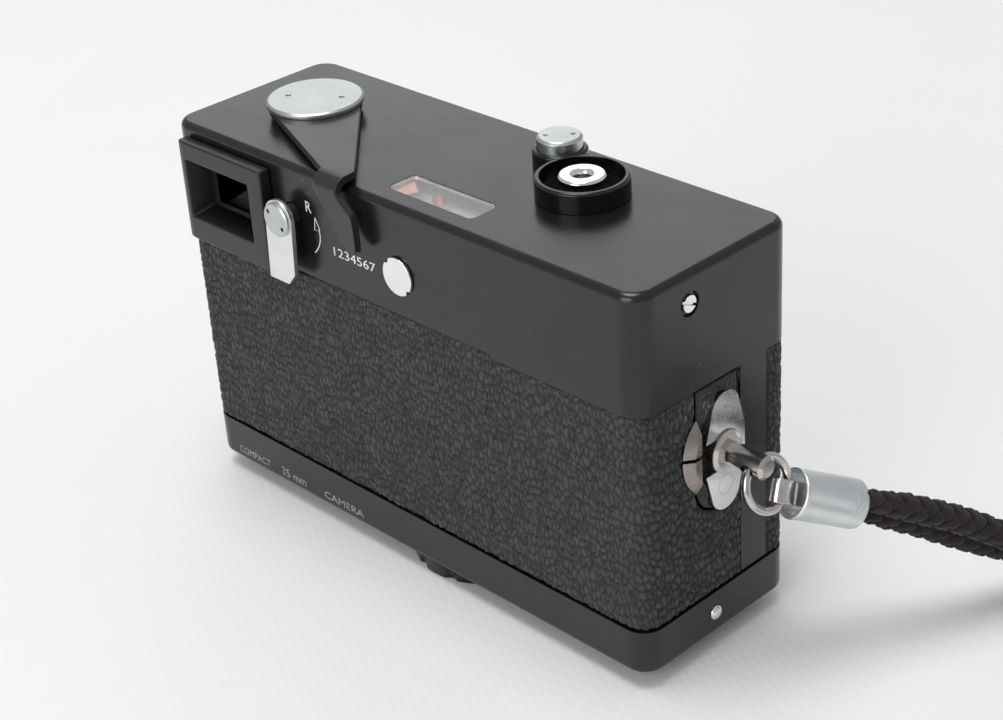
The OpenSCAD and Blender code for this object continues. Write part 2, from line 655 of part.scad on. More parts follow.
// ---------- rewind and frame counter, in the base ----------

module counter_window() color([0.8, 0.85, 0.9, 0.4]) in_frame()
  translate([counter_at.x, counter_at.y, -0.3]) cylinder(h = 1.6, r = 3.6);

module counter_dial() color("white") in_frame() translate([counter_at.x, counter_at.y, 1.6]) {
  cylinder(h = 0.6, r = 5);
  cylinder(h = 3.4, r = 0.9);
}

module rewind_crank() color([0.7, 0.7, 0.72]) in_frame()
  translate([crank_at.x, crank_at.y, 0]) difference() {
  union() {
    translate([0, 0, -1.5]) cylinder(h = 2.5, r = 9.2);
    cylinder(h = 8, r = 2);
    // fork that turns the cassette's spool
    translate([-2, -0.5, 7.9]) cube([4, 1, 2]);
    // ears of the handle's hinge
    for (s = [-1, 1]) translate([-0.6, s * 2.7 - 0.45, -2.5]) cube([1.2, 0.9, 1.2]);
  }
  translate([6.3, 0, -2]) cylinder(h = 4, r = 2.3);
}

module crank_handle() color([0.75, 0.75, 0.77]) in_frame() translate([crank_at.x, crank_at.y, -2]) {
  rotate([90, 0, 0]) cylinder(h = 4.3, r = 0.4, center = true);
  translate([-0.25, -2, -0.4]) cube([8.05, 4, 0.8]);
  translate([6.3, 0, 0.3]) cylinder(h = 2.2, r = 1.9);
}

// ---------- removable back with the base plate ----------

module notch(extra) {
  block([-half_w - 1, lug_at.x - 4.6 - extra, lug_at.y - 5.4],
    [-half_w + 3, lug_at.x + 4.6 + extra, body_h]);
  translate([-half_w + 1, lug_at.x, lug_at.y - 5.4]) rotate([0, 90, 0])
    cylinder(h = 4, r = 4.6 + extra, center = true);
}

module back_shell() color([0.12, 0.12, 0.125]) in_frame() difference() {
  intersection() {
    slab(base_t + gap, cover_z - gap, leather_t + 0.35);
    block([-body_w, split_y + 0.2, 0], [body_w, body_d, body_h]);
  }
  slab(0, body_h, shell_in + 0.1);
  notch(0);
}

module back_leather() leather_colour() in_frame() difference() {
  union() {
    intersection() {
      slab(tray_h + seam, cover_z - gap, 0);
      block([-body_w, split_y + 0.2, 0], [body_w, body_d, body_h]);
    }
    block([-20.3, half_d - leather_t, cover_z - 1], [24.3, half_d, cover_z + 0.5]);
  }
  slab(0, body_h, leather_t + 0.3);
  notch(0.1);
}

module bottom_plate() color([0.1, 0.1, 0.105]) in_frame() difference() {
  intersection() {
    translate([0, 0, body_h]) mirror([0, 0, 1]) domed_slab(body_h, 1);
    block([-body_w, -body_d, 0], [body_w, body_d, tray_h]);
  }
  slab(base_t, body_h, wall);
  translate([key_at.x, key_at.y, -1]) cylinder(h = 4, r = 7.2);
  translate([crank_at.x, crank_at.y, -1]) cylinder(h = 4, r = 9.4);
  translate([counter_at.x, counter_at.y, -1]) cylinder(h = 4, r = 3.8);
  block([shoe_at.x - 10.6, shoe_at.y - 9.6, -1], [shoe_at.x + 10.6, shoe_at.y + 9.6, 2]);
  for (x = [-1, 1]) translate([end_x(x), base_screw_at.x, base_screw_at.y]) rotate([0, 90, 0])
    cylinder(h = 4, r = 1.25, center = true);
}

module bottom_screws() color("silver") in_frame() for (x = [-1, 1])
  translate([end_x(x) - 0.35 * x, base_screw_at.x, base_screw_at.y])
    mirror([x < 0 ? 1 : 0, 0, 0]) screw(1.2, 0.45, 0.8, 0.5, -1);

// Accessory shoe with rails along Y and an insulated centre contact.
module accessory_shoe() color("silver") in_frame() translate([shoe_at.x, shoe_at.y, 0]) {
  difference() {
    block([-10.5, -9.5, -foot], [10.5, 9.5, 1]);
    block([-9.3, -10.5, -2], [9.3, 8.3, 0]);
    block([-6.25, -10.5, -foot - 1], [6.25, 8.3, 0]);
  }
  translate([0, 0, -0.3]) cylinder(h = 0.3 - eps, r = 1.4);
}

module pressure_plate() color([0.3, 0.3, 0.31]) in_frame() {
  block([-21, film_y + 0.4, lens_z - 15.5], [20, film_y + 1.4, lens_z + 15.5]);
  // feet on the casting's floor
  for (x = [-1, 1])
    block([x * 15 - 2, film_y + 0.4, floor_z + 1.35], [x * 15 + 2, film_y + 1.4, lens_z - 15.4]);
  // leaf spring between plate and shell
  for (x = [-1, 1])
    block([x * 9 - 4, film_y + 1.3, lens_z - 3], [x * 9 + 4, half_d - shell_in - 0.15, lens_z + 3]);
}

module tripod_bush() color("silver") in_frame() translate([key_at.x, key_at.y, -foot]) difference() {
  union() {
    cylinder(h = foot + 2.4, r = 5.4);
    translate([0, 0, foot + 1.3]) cylinder(h = 1.2, r = 10.8);
  }
  translate([0, 0, -1]) cylinder(h = 6, r = 2.6);
}

// Back-lock key: a flat ring that turns round the tripod bush.
module lock_key() color([0.05, 0.05, 0.05]) in_frame() translate([key_at.x, key_at.y, -foot]) difference() {
  union() {
    cylinder(h = foot - gap, r = key_r);
    cylinder(h = foot + 1.2, r = 7.1);
  }
  translate([0, 0, -1]) cylinder(h = 6, r = 5.4 + run);
  for (a = [0 : 30 : 150]) rotate(a + 15) translate([0, 0, foot / 2]) for (s = [-1, 1])
    translate([s * (key_r + 0.8), 0, 0]) cylinder(h = foot + 1, r = 1.3, center = true);
}

// ---------- strap ----------

// Flat lug plate of two petals above and below the post.
module lug_plate() color([0.8, 0.8, 0.8]) in_frame() difference() {
  translate([-half_w + 0.3, lug_at.x, lug_at.y]) rotate([90, 0, -90]) linear_extrude(1.6) {
    for (s = [-1, 1]) {
      translate([0, s * 6.5]) circle(2.95);
      polygon([[-4.1, 0], [-4.1, s * 2.6], [-2.85, s * 7.2], [2.85, s * 7.2], [4.1, s * 2.6], [4.1, 0]]);
    }
  }
  translate([-half_w, lug_at.x, lug_at.y]) rotate([0, 90, 0]) cylinder(h = 8, r = 3.25, center = true);
  block([-half_w - 2, lug_at.x, lug_at.y - 2.6], [-half_w + 1, lug_at.x + 5, lug_at.y + 2.6]);
  for (s = [-1, 1]) translate([-half_w, lug_at.x, lug_at.y + s * 5.5]) rotate([0, 90, 0])
    cylinder(h = 8, r = 1.55, center = true);
}

module lug_screws() color("silver") in_frame() for (s = [-1, 1])
  translate([-half_w - 0.7, lug_at.x, lug_at.y + s * 5.5]) mirror([1, 0, 0]) screw(1.5, 0.6, 0.8, 2.6, -1);

module strap_post() color([0.75, 0.73, 0.7]) in_frame() difference() {
  translate([0, lug_at.x, lug_at.y]) rotate([0, -90, 0]) {
    translate([0, 0, half_w - 0.3]) cylinder(h = 1.9, r = 3.2);
    translate([0, 0, half_w + 1.5]) cylinder(h = 0.5, r1 = 3.2, r2 = 2.5);
    translate([0, 0, half_w - 1]) cylinder(h = -post_end - half_w + 0.5, r = post_r);
    translate([0, 0, -post_end - 0.5 - eps]) cylinder(h = 0.5, r1 = post_r, r2 = post_r - 0.5);
  }
  // the hole sits a little low, because the ring's wire is curved
  translate([hole_x, lug_at.x, lug_at.y] + 0.2 * ring_dir) rotate([90 - hole_turn, 0, 0])
    cylinder(h = 8, r = hole_r, center = true);
}

// Dished petals on the shell, beside the notch.
module lug_trim() color([0.45, 0.42, 0.4]) in_frame() intersection() {
  translate([-half_w - gap, lug_at.x, lug_at.y + 0.6]) rotate([0, -90, 0]) difference() {
    cylinder(h = 1.1, r1 = 7.7, r2 = 6.2);
    translate([0, 0, -1]) cylinder(h = 4, r = 4.9);
  }
  difference() {
    block([-60, lug_at.x + 4.8, lug_at.y - 6], [0, 20, lug_at.y + 7]);
    block([-70, 0, lug_at.y + 0.9], [0, 20, lug_at.y + 1.4]);
  }
}

module strap_ring() color([0.75, 0.73, 0.71]) in_frame()
  multmatrix(placed(hole_dir, ring_dir, cross(hole_dir, ring_dir), ring_at))
    rotate_extrude() translate([ring_r, 0]) circle(r = ring_wire, $fn = 24);

// Band that hooks round the ring and runs into the ferrule.
module strap_tongue() color([0.78, 0.76, 0.74]) in_frame() on_strap(0) difference() {
  union() {
    translate([-1.3, 0, 0]) rotate([90, 0, 0]) cylinder(h = band_w, r = hook_r, center = true);
    translate([-1.3, -band_w / 2, -hook_r]) cube([1.5, band_w, 2 * hook_r]);
    translate([0.2, 0, 0]) rotate([90, 0, 0]) cylinder(h = band_w, r = hook_r, center = true);
    translate([0.2, -band_w / 2, -0.5]) cube([ferrule_from + ferrule_cup - 0.2 + gap, band_w, 1]);
  }
  // room for the ring's wire
  translate([-0.9, 0, 0]) rotate([90, 0, 0]) cylinder(h = 5, r = wire_room, center = true);
  translate([-0.9, -3, -wire_room]) cube([0.9, 6, 2 * wire_room]);
  rotate([90, 0, 0]) cylinder(h = 5, r = wire_room, center = true);
}

module strap_ferrule() color([0.8, 0.81, 0.82]) in_frame()
  on_strap(ferrule_from) rotate([0, 90, 0]) difference() {
  cylinder(h = ferrule_l, r = ferrule_r);
  translate([0, 0, -1]) cylinder(h = ferrule_cup + 1, r = ferrule_r - 0.7);
  translate([0, 0, ferrule_l - 0.8]) cylinder(h = 1, r = ferrule_r - 0.7);
}

// A tube that follows a list of points.
module swept_tube(route, r, sides) {
  n = len(route);
  tangents = [for (i = [0 : n - 1]) unit(route[min(i + 1, n - 1)] - route[max(i - 1, 0)])];
  rings = [for (i = [0 : n - 1]) let (
      u = unit(cross(tangents[i], [0, 0, 1])),
      v = cross(u, tangents[i]))
    [for (k = [0 : sides - 1]) route[i] + r * (cos(360 * k / sides) * u + sin(360 * k / sides) * v)]];
  polyhedron(
    points = [for (ring = rings, p = ring) p],
    faces = concat(
      [[for (k = [0 : sides - 1]) k]],
      [for (i = [0 : n - 2], k = [0 : sides - 1]) let (a = i * sides + k, b = i * sides + (k + 1) % sides)
        [a, a + sides, b]],
      [for (i = [0 : n - 2], k = [0 : sides - 1]) let (a = i * sides + k, b = i * sides + (k + 1) % sides)
        [b, a + sides, b + sides]],
      [[for (k = [sides - 1 : -1 : 0]) (n - 1) * sides + k]]));
}

module wrist_cord() color([0.1, 0.07, 0.06]) in_frame() swept_tube(cord_route, cord_d / 2, 8);

front_casting();
film_chassis();
front_leather();
top_cover();
cover_screws();
finder_bezel();
finder_housing();
finder_glass();
meter_window();
meter_movement();
photocell_window();
battery();
adjuster_cover();
release_collar();
lock_collar();
lens_mount();
dial_bases();
lug_plate();
lug_screws();
strap_post();
counter_window();
wind_lever();
wind_cap();
wind_gear();
sprocket();
take_up_spool();
release_button();
release_spring();
lock_button();
rewind_switch();
switch_cap();
lens_carriage();
lens_tube();
shutter_unit();
rear_lens();
focus_ring();
front_cell();
front_lens();
speed_dial();
film_reminder();
aperture_dial();
film_speed_disc();
meter_needle();
match_needle();
counter_dial();
rewind_crank();
crank_handle();
back_shell();
back_leather();
bottom_plate();
bottom_screws();
accessory_shoe();
pressure_plate();
tripod_bush();
lock_key();
lug_trim();
strap_ring();
strap_tongue();
strap_ferrule();
wrist_cord();
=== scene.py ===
import math

import bmesh
import bpy
import numpy as np
from mathutils import Matrix, Vector


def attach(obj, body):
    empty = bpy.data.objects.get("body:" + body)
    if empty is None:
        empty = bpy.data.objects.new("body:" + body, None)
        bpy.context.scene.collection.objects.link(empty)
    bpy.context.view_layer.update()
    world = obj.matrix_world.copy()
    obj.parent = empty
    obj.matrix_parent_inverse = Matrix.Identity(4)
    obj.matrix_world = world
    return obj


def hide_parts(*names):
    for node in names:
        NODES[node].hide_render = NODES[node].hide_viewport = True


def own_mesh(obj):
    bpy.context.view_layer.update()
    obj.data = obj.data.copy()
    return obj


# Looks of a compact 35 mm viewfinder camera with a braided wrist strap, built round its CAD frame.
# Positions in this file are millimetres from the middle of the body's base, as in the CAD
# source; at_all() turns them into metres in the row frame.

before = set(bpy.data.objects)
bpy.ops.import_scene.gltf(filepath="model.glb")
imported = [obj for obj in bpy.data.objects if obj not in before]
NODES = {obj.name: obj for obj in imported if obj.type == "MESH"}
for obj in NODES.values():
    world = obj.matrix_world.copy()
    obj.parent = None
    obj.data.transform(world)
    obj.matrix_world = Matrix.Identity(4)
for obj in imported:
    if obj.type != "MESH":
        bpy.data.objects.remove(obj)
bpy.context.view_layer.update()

BODY_AT = Vector((3.5, -3.3, 2.6))
HALF_W, HALF_D, CORNER_R = 49.15, 16.0, 3.6
MIDDLE_X = 0.65                # the body's middle is this far towards the finder end
LENS_Z = 24.9
DIAL_X, DIAL_Z = 31.5, 25.5
FINDER_X, FINDER_Z = 36.65, 51.0


def at_all(points):
    return (np.asarray(points, float) + np.array(BODY_AT)) / 1000


# ---------- camera ----------

camera_data = bpy.data.cameras.new("camera")
camera_data.sensor_width = 36
camera_data.lens = 73.44
camera_data.clip_start = 0.01
camera_data.clip_end = 20
camera = bpy.data.objects.new("camera", camera_data)
bpy.context.scene.collection.objects.link(camera)
RIGHT = Vector((-0.70213, -0.70958, -0.05919)).normalized()
FORWARD = Vector((0.63995, -0.59241, -0.48940)).normalized()
UP = RIGHT.cross(FORWARD)
camera.matrix_world = Matrix.Translation((-0.20132, 0.18123, 0.18482)) @ Matrix(
    (RIGHT, UP, -FORWARD)).transposed().to_4x4()
bpy.context.scene.camera = camera

# ---------- materials ----------


class Nodes:
    """Shorthand for building one node tree."""

    def __init__(self, name):
        self.mat = bpy.data.materials.new(name)
        self.mat.use_nodes = True
        self.tree = self.mat.node_tree
        self.shader = self.tree.nodes["Principled BSDF"]
        self.coords = self.tree.nodes.new("ShaderNodeTexCoord").outputs["Object"]
        self.normal = None

    def node(self, kind, **values):
        n = self.tree.nodes.new("ShaderNode" + kind)
        for key, value in values.items():
            if key in n.inputs.keys():
                if hasattr(value, "is_output"):
                    self.tree.links.new(value, n.inputs[key])
                else:
                    n.inputs[key].default_value = value
            else:
                setattr(n, key, value)
        return n

    def stretched(self, scale, turn=(0, 0, 0)):
        n = self.node("Mapping", Scale=scale, Rotation=turn)
        self.tree.links.new(self.coords, n.inputs["Vector"])
        return n.outputs["Vector"]

    def noise(self, scale, detail=3.0, rough=0.5, vector=None):
        return self.node("TexNoise", Scale=scale, Detail=detail, Roughness=rough,
                         Vector=vector or self.coords).outputs["Fac"]

    def ramp(self, value, *stops):
        n = self.node("ValToRGB", Fac=value)
        points = n.color_ramp.elements
        while len(points) < len(stops):
            points.new(0.5)
        for element, (place, colour) in zip(points, stops):
            element.position = place
            element.color = (*colour, 1)
        return n.outputs["Color"]

    def span(self, value, low, high, low_in=0.3, high_in=0.7):
        n = self.node("MapRange", Value=value)
        n.inputs["From Min"].default_value = low_in
        n.inputs["From Max"].default_value = high_in
        n.inputs["To Min"].default_value = low
        n.inputs["To Max"].default_value = high
        return n.outputs["Result"]

    def bump(self, height, strength, distance):
        n = self.node("Bump", Height=height, Strength=strength, Distance=distance)
        if self.normal is not None:
            self.tree.links.new(self.normal, n.inputs["Normal"])
        self.normal = n.outputs["Normal"]

    def done(self, **values):
        for key, value in values.items():
            socket = self.shader.inputs[key.replace("_", " ")]
            if hasattr(value, "is_output"):
                self.tree.links.new(value, socket)
            else:
                socket.default_value = value
        if self.normal is not None:
            self.tree.links.new(self.normal, self.shader.inputs["Normal"])
        return self.mat


def paint(name, dark, light, rough, peel=0.05, dust=False):
    """Semi-gloss black enamel with faint orange peel, wiped smears and, where asked, dust."""
    n = Nodes(name)
    colour = n.ramp(n.noise(180, 4), (0.35, dark), (0.7, light))
    if dust:
        speck = n.node("TexVoronoi", Scale=420, Vector=n.coords, Randomness=1.0).outputs["Distance"]
        keep = n.noise(95, 2)
        grain = n.node("Math", operation="MULTIPLY", use_clamp=True)
        n.tree.links.new(n.span(speck, 1, 0, 0.03, 0.06), grain.inputs[0])
        n.tree.links.new(n.span(keep, 0, 0.5, 0.62, 0.68), grain.inputs[1])
        mix = n.node("MixRGB", Color2=(0.35, 0.34, 0.33, 1), Color1=colour, Fac=grain.outputs[0])
        colour = mix.outputs["Color"]
    n.bump(n.noise(1400, 2), peel, 0.0002)
    smear = n.noise(1.0, 4, vector=n.stretched((90, 150, 220), (0.3, 0.1, 0.5)))
    return n.done(Base_Color=colour, Roughness=n.span(smear, rough - 0.035, rough + 0.05),
                  IOR=1.5)


def metal(name, dark, light, rough, spread=0.05, brushed=None, strength=0.06, scale=2600):
    """Bare or plated metal; brushed stretches its fine grain along an axis."""
    n = Nodes(name)
    colour = n.ramp(n.noise(240, 4), (0.3, dark), (0.7, light))
    vector = n.stretched(brushed) if brushed else None
    grain = n.noise(1.0 if brushed else scale, 3, vector=vector)
    n.bump(grain, strength, 0.0001)
    return n.done(Base_Color=colour, Metallic=1.0,
                  Roughness=n.span(grain, rough - spread, rough + spread))


def plastic(name, dark, light, rough, strength=0.08, scale=2200, coat=0.0, gloss=0.5):
    n = Nodes(name)
    colour = n.ramp(n.noise(300, 3), (0.3, dark), (0.7, light))
    n.bump(n.noise(scale, 3), strength, 0.0002)
    return n.done(Base_Color=colour, Roughness=n.span(n.noise(130, 4), rough - 0.04, rough + 0.05),
                  Coat_Weight=coat, Coat_Roughness=0.05, Specular_IOR_Level=gloss)


def glass(name, tint, film=0.0):
    n = Nodes(name)
    colour = n.ramp(n.noise(60, 2), (0.2, tint), (0.8, tuple(min(1, c * 1.04) for c in tint)))
    return n.done(Base_Color=colour, Roughness=n.span(n.noise(260, 4), 0.0, 0.03, 0.4, 0.8),
                  Transmission_Weight=1.0, IOR=1.5, Thin_Film_Thickness=film, Thin_Film_IOR=1.38)


def covering():
    """Grained black covering: shiny worn tops, matt creases and painted shade that darkens the creases; the
    grain itself is in the mesh.
    """
    n = Nodes("grained_covering")
    crease = n.node("Attribute", attribute_name="grain").outputs["Fac"]
    # painted shade: the colour gets darker the lower the grain height, down into the creases
    colour = n.ramp(crease, (0.0, (0.0015, 0.0015, 0.0015)), (0.55, (0.009, 0.009, 0.0095)),
                    (1.0, (0.04, 0.04, 0.041)))
    n.bump(n.noise(3600, 5, 0.65), 0.35, 0.00012)
    n.bump(n.noise(1100, 3), 0.2, 0.0002)
    return n.done(Base_Color=colour, Roughness=n.span(crease, 0.75, 0.32, 0.0, 1.0), IOR=1.5)


def braided():
    """Dark brown textile: fine fibres across each strand, a soft sheen, and painted shade where a strand
    passes under another and on its inner side.
    """
    n = Nodes("cord_brown")
    fibre = n.noise(1.0, 5, 0.7, vector=n.stretched((2600, 5200, 3800), (0.4, 0.7, 0.2)))
    tone = n.noise(420, 4)
    depth = n.node("Attribute", attribute_name="grain").outputs["Fac"]
    # painted shade: the stored value multiplies the colour down to a quarter in the braid's hollows
    mixed = n.node("MixRGB", blend_type="MULTIPLY", Fac=1.0,
                   Color1=n.ramp(tone, (0.3, (0.012, 0.0085, 0.0078)), (0.75, (0.026, 0.0185, 0.0168))),
                   Color2=n.ramp(depth, (0.0, (0.25, 0.25, 0.25)), (1.0, (1.0, 1.0, 1.0)))).outputs["Color"]
    n.bump(fibre, 0.8, 0.00012)
    return n.done(Base_Color=mixed, Roughness=n.span(tone, 0.8, 0.95), Sheen_Weight=0.12,
                  Sheen_Roughness=0.5, Specular_IOR_Level=0.25)


BLACK_PAINT = paint("black_paint", (0.006, 0.006, 0.0062), (0.009, 0.009, 0.0092), 0.24, dust=True)
LEVER_PAINT = paint("lever_paint", (0.018, 0.0155, 0.0157), (0.026, 0.0225, 0.0228), 0.24, peel=0.03)
BLACK_INSIDE = paint("black_inside", (0.008, 0.008, 0.008), (0.013, 0.013, 0.013), 0.6, peel=0.2)
BLACK_TRIM = plastic("black_trim", (0.003, 0.003, 0.003), (0.005, 0.005, 0.0055), 0.13, 0.02)
BLACK_PLASTIC = plastic("black_plastic", (0.0085, 0.008, 0.008), (0.0125, 0.012, 0.012), 0.34, 0.06)
FUNNEL = plastic("finder_funnel", (0.0018, 0.0018, 0.002), (0.0035, 0.0035, 0.004), 0.4, 0.05, gloss=0.3)
# painted shade: the eyepiece is an opaque dark sheet that stands for the unlit inside of the finder behind
# its glass
EYEPIECE_SHADE = plastic("finder_eyepiece_painted_shade", (0.004, 0.005, 0.0055),
                   (0.006, 0.007, 0.008), 0.3, 0.01, gloss=0.12)
SATIN_CHROME = metal("satin_chrome", (0.49, 0.51, 0.51), (0.56, 0.58, 0.58), 0.33, strength=0.1)
BRIGHT_CHROME = metal("bright_chrome", (0.8, 0.8, 0.8), (0.88, 0.88, 0.89), 0.16, 0.04, strength=0.03)
BRUSHED = metal("brushed_chrome", (0.72, 0.73, 0.74), (0.8, 0.81, 0.82), 0.34,
                brushed=(9000, 9000, 420), strength=0.12)
NICKEL = metal("nickel", (0.52, 0.48, 0.46), (0.68, 0.64, 0.61), 0.17, 0.05, strength=0.04)
STEEL = metal("steel", (0.42, 0.42, 0.43), (0.55, 0.55, 0.56), 0.36)
FERRULE = metal("ferrule_aluminium", (0.7, 0.72, 0.72), (0.79, 0.81, 0.81), 0.38, strength=0.1)
DARK_NICKEL = metal("dark_nickel", (0.24, 0.21, 0.195), (0.36, 0.32, 0.3), 0.26, 0.05, strength=0.08)
BRASS = metal("gear_brass", (0.58, 0.42, 0.16), (0.7, 0.53, 0.24), 0.32)
WHITE_MARK = plastic("white_mark", (0.6, 0.6, 0.59), (0.78, 0.78, 0.77), 0.5)
GREY_MARK = plastic("grey_mark", (0.2, 0.2, 0.2), (0.3, 0.3, 0.3), 0.5)
DIAL_WHITE = plastic("dial_white", (0.7, 0.7, 0.68), (0.8, 0.8, 0.78), 0.45)
BLACK_MARK = plastic("black_mark", (0.01, 0.01, 0.01), (0.02, 0.02, 0.02), 0.5)
METER_SCALE = plastic("meter_scale", (0.58, 0.6, 0.56), (0.66, 0.68, 0.64), 0.6, 0.2)
SALMON = plastic("needle_orange", (0.62, 0.17, 0.1), (0.74, 0.25, 0.16), 0.5)
METER_BORDER = plastic("meter_border", (0.66, 0.5, 0.49), (0.76, 0.6, 0.59), 0.4)
METER_RANGE = plastic("meter_range", (0.86, 0.4, 0.33), (0.94, 0.48, 0.4), 0.5)
PHOTOCELL = plastic("photocell", (0.3, 0.31, 0.26), (0.42, 0.43, 0.38), 0.3, 0.6, 1500, 0.6)
WINDOW_GLASS = glass("window_glass", (0.93, 0.95, 0.95))
METER_GLASS = glass("meter_glass", (0.86, 0.84, 0.84))
LENS_GLASS = glass("lens_glass", (0.93, 0.92, 0.98), film=310.0)
COVERING = covering()
CORD = braided()

# ---------- mesh helpers ----------


def face_outward(mesh):
    """Turns the faces of closed shells outward."""
    shell = bmesh.new()
    shell.from_mesh(mesh)
    bmesh.ops.remove_doubles(shell, verts=shell.verts, dist=0.000001)
    bmesh.ops.recalc_face_normals(shell, faces=shell.faces)
    shell.to_mesh(mesh)
    shell.free()


def piece(name, verts, faces, material, body, smooth=35.0, replaces=(), outward=True):
    """A mesh piece in the row frame; verts are millimetres from the body's middle."""
    mesh = bpy.data.meshes.new(name)
    mesh.from_pydata(at_all(verts).tolist(), [], faces)
    mesh.validate()
    if outward:
        face_outward(mesh)
    mesh.shade_smooth()
    if smooth:
        mesh.set_sharp_from_angle(angle=math.radians(smooth))
    mesh.materials.append(material)
    obj = bpy.data.objects.new(name, mesh)
    bpy.context.scene.collection.objects.link(obj)
    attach(obj, body)
    if replaces:
        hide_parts(*replaces)
    return obj


EDGE_ANGLE = 32


def rounded(obj, width, segments=2, angle=EDGE_ANGLE):
    """Small rounded edges, with shading that stays flat on the large faces."""
    bevel = obj.modifiers.new("edges", "BEVEL")
    bevel.width = width
    bevel.segments = segments
    bevel.limit_method = "ANGLE"
    bevel.angle_limit = math.radians(angle)
    bevel.harden_normals = False
    normals = obj.modifiers.new("normals", "WEIGHTED_NORMAL")
    normals.keep_sharp = False
    normals.weight = 80


def cad_look(node, material, width):
    """Material and rounded edges for a CAD node; its own vertices stay as they are.
    Width 0 gives sharp edges, and None keeps the node's own shading."""
    obj = NODES[node]
    obj.data.materials.clear()
    obj.data.materials.append(material)
    for polygon in obj.data.polygons:
        polygon.material_index = 0
    if width is None:
        return
    if "custom_normal" in obj.data.attributes:
        obj.data.attributes.remove(obj.data.attributes["custom_normal"])
    obj.data.shade_smooth()
    weld = obj.modifiers.new("weld", "WELD")
    weld.merge_threshold = 0.000002
    if width:
        plain = obj.modifiers.new("flat_faces", "DECIMATE")
        plain.decimate_type = "DISSOLVE"
        plain.angle_limit = math.radians(0.6)
        rounded(obj, width)
    else:
        split = obj.modifiers.new("split", "EDGE_SPLIT")
        split.split_angle = math.radians(EDGE_ANGLE)


def set_shade_height(obj, values):
    """Stores the height by which the covering's and the cord's materials paint shade into their hollows."""
    layer = obj.data.attributes.new("grain", "FLOAT", "POINT")
    layer.data.foreach_set("value", np.asarray(values, np.float32))


def frame_of(x_dir, y_dir, origin):
    """Matrix that puts x and y along two directions, with its origin at a point."""
    x, y = Vector(x_dir).normalized(), Vector(y_dir).normalized()
    z = x.cross(y)
    m = Matrix((x, y, z)).transposed().to_4x4()
    m.translation = Vector(origin)
    return m


def lathe(name, profile, place, material, body, sides=72, replaces=(), smooth=30.0):
    """Turns a closed profile of (radius, height) round the z axis of place, in millimetres."""
    verts, faces = [], []
    count = len(profile)
    for k in range(sides):
        a = 2 * math.pi * k / sides
        for r, h in profile:
            verts.append(place @ Vector((r * math.cos(a), r * math.sin(a), h)))
    for k in range(sides):
        for i in range(count - 1):
            a, b = k * count + i, ((k + 1) % sides) * count + i
            quad = [a, b, b + 1, a + 1]
            if profile[i][0] < 1e-9:
                quad = [a, b + 1, a + 1]
            elif profile[i + 1][0] < 1e-9:
                quad = [a, b, a + 1]
            faces.append(quad)
    obj = piece(name, verts, faces, material, body, smooth, replaces)
    weld = obj.modifiers.new("weld", "WELD")
    weld.merge_threshold = 0.000001
    return obj


def prisms(shapes, place, thick):
    """Closed thin prisms from flat outlines, in millimetres."""
    verts, faces = [], []
    for shape in shapes:
        base, n = len(verts), len(shape)
        for z in (0, thick):
            verts += [place @ Vector((x, y, z)) for x, y in shape]
        faces.append(list(range(base + n - 1, base - 1, -1)))
        faces.append(list(range(base + n, base + 2 * n)))
        for i in range(n):
            j = (i + 1) % n
            faces.append([base + i, base + j, base + n + j, base + n + i])
    return verts, faces


def stroke(points, width):
    """Outline of a line of that width through points."""
    points = [Vector(p) for p in points]
    left, right = [], []
    for i, p in enumerate(points):
        d = (points[min(i + 1, len(points) - 1)] - points[max(i - 1, 0)]).normalized()
        n = Vector((-d.y, d.x)) * width / 2
        left.append(p + n)
        right.append(p - n)
    return [tuple(p) for p in right + left[::-1]]


def lettering(name, items, material, body, thick=0.03):
    """Generic figures as one mesh. Each item: (text, place, width or None, height) in millimetres."""
    verts, faces = [], []
    for text, place, width, height in items:
        curve = bpy.data.curves.new(name + "_curve", "FONT")
        curve.body = text
        curve.resolution_u = 4
        source = bpy.data.objects.new(name + "_source", curve)
        bpy.context.scene.collection.objects.link(source)
        bpy.context.view_layer.update()
        flat = bpy.data.meshes.new_from_object(source.evaluated_get(
            bpy.context.evaluated_depsgraph_get()))
        co = np.array([v.co for v in flat.vertices], float).reshape(-1, 3)
        low, high = co.min(0), co.max(0)
        tall = height / max(high[1] - low[1], 1e-6)
        wide = width / (high[0] - low[0]) if width else tall
        middle = (low + high) / 2
        first = len(verts)
        for z in (0, thick):
            base = len(verts)
            for p in co:
                verts.append(place @ Vector(((p[0] - middle[0]) * wide, (p[1] - middle[1]) * tall, z)))
            for polygon in flat.polygons:
                loop = [base + i for i in polygon.vertices]
                faces.append(loop if z else loop[::-1])
        edges = {}
        for polygon in flat.polygons:
            ids = list(polygon.vertices)
            edges.update(dict.fromkeys(zip(ids, ids[1:] + ids[:1])))
        offset = len(co)
        for a, b in edges:
            if (b, a) not in edges:
                faces.append([first + a, first + b, first + b + offset, first + a + offset])
        bpy.data.objects.remove(source)
        bpy.data.curves.remove(curve)
        bpy.data.meshes.remove(flat)
    return piece(name, verts, faces, material, body, smooth=20.0)


# ---------- wrist cord ----------

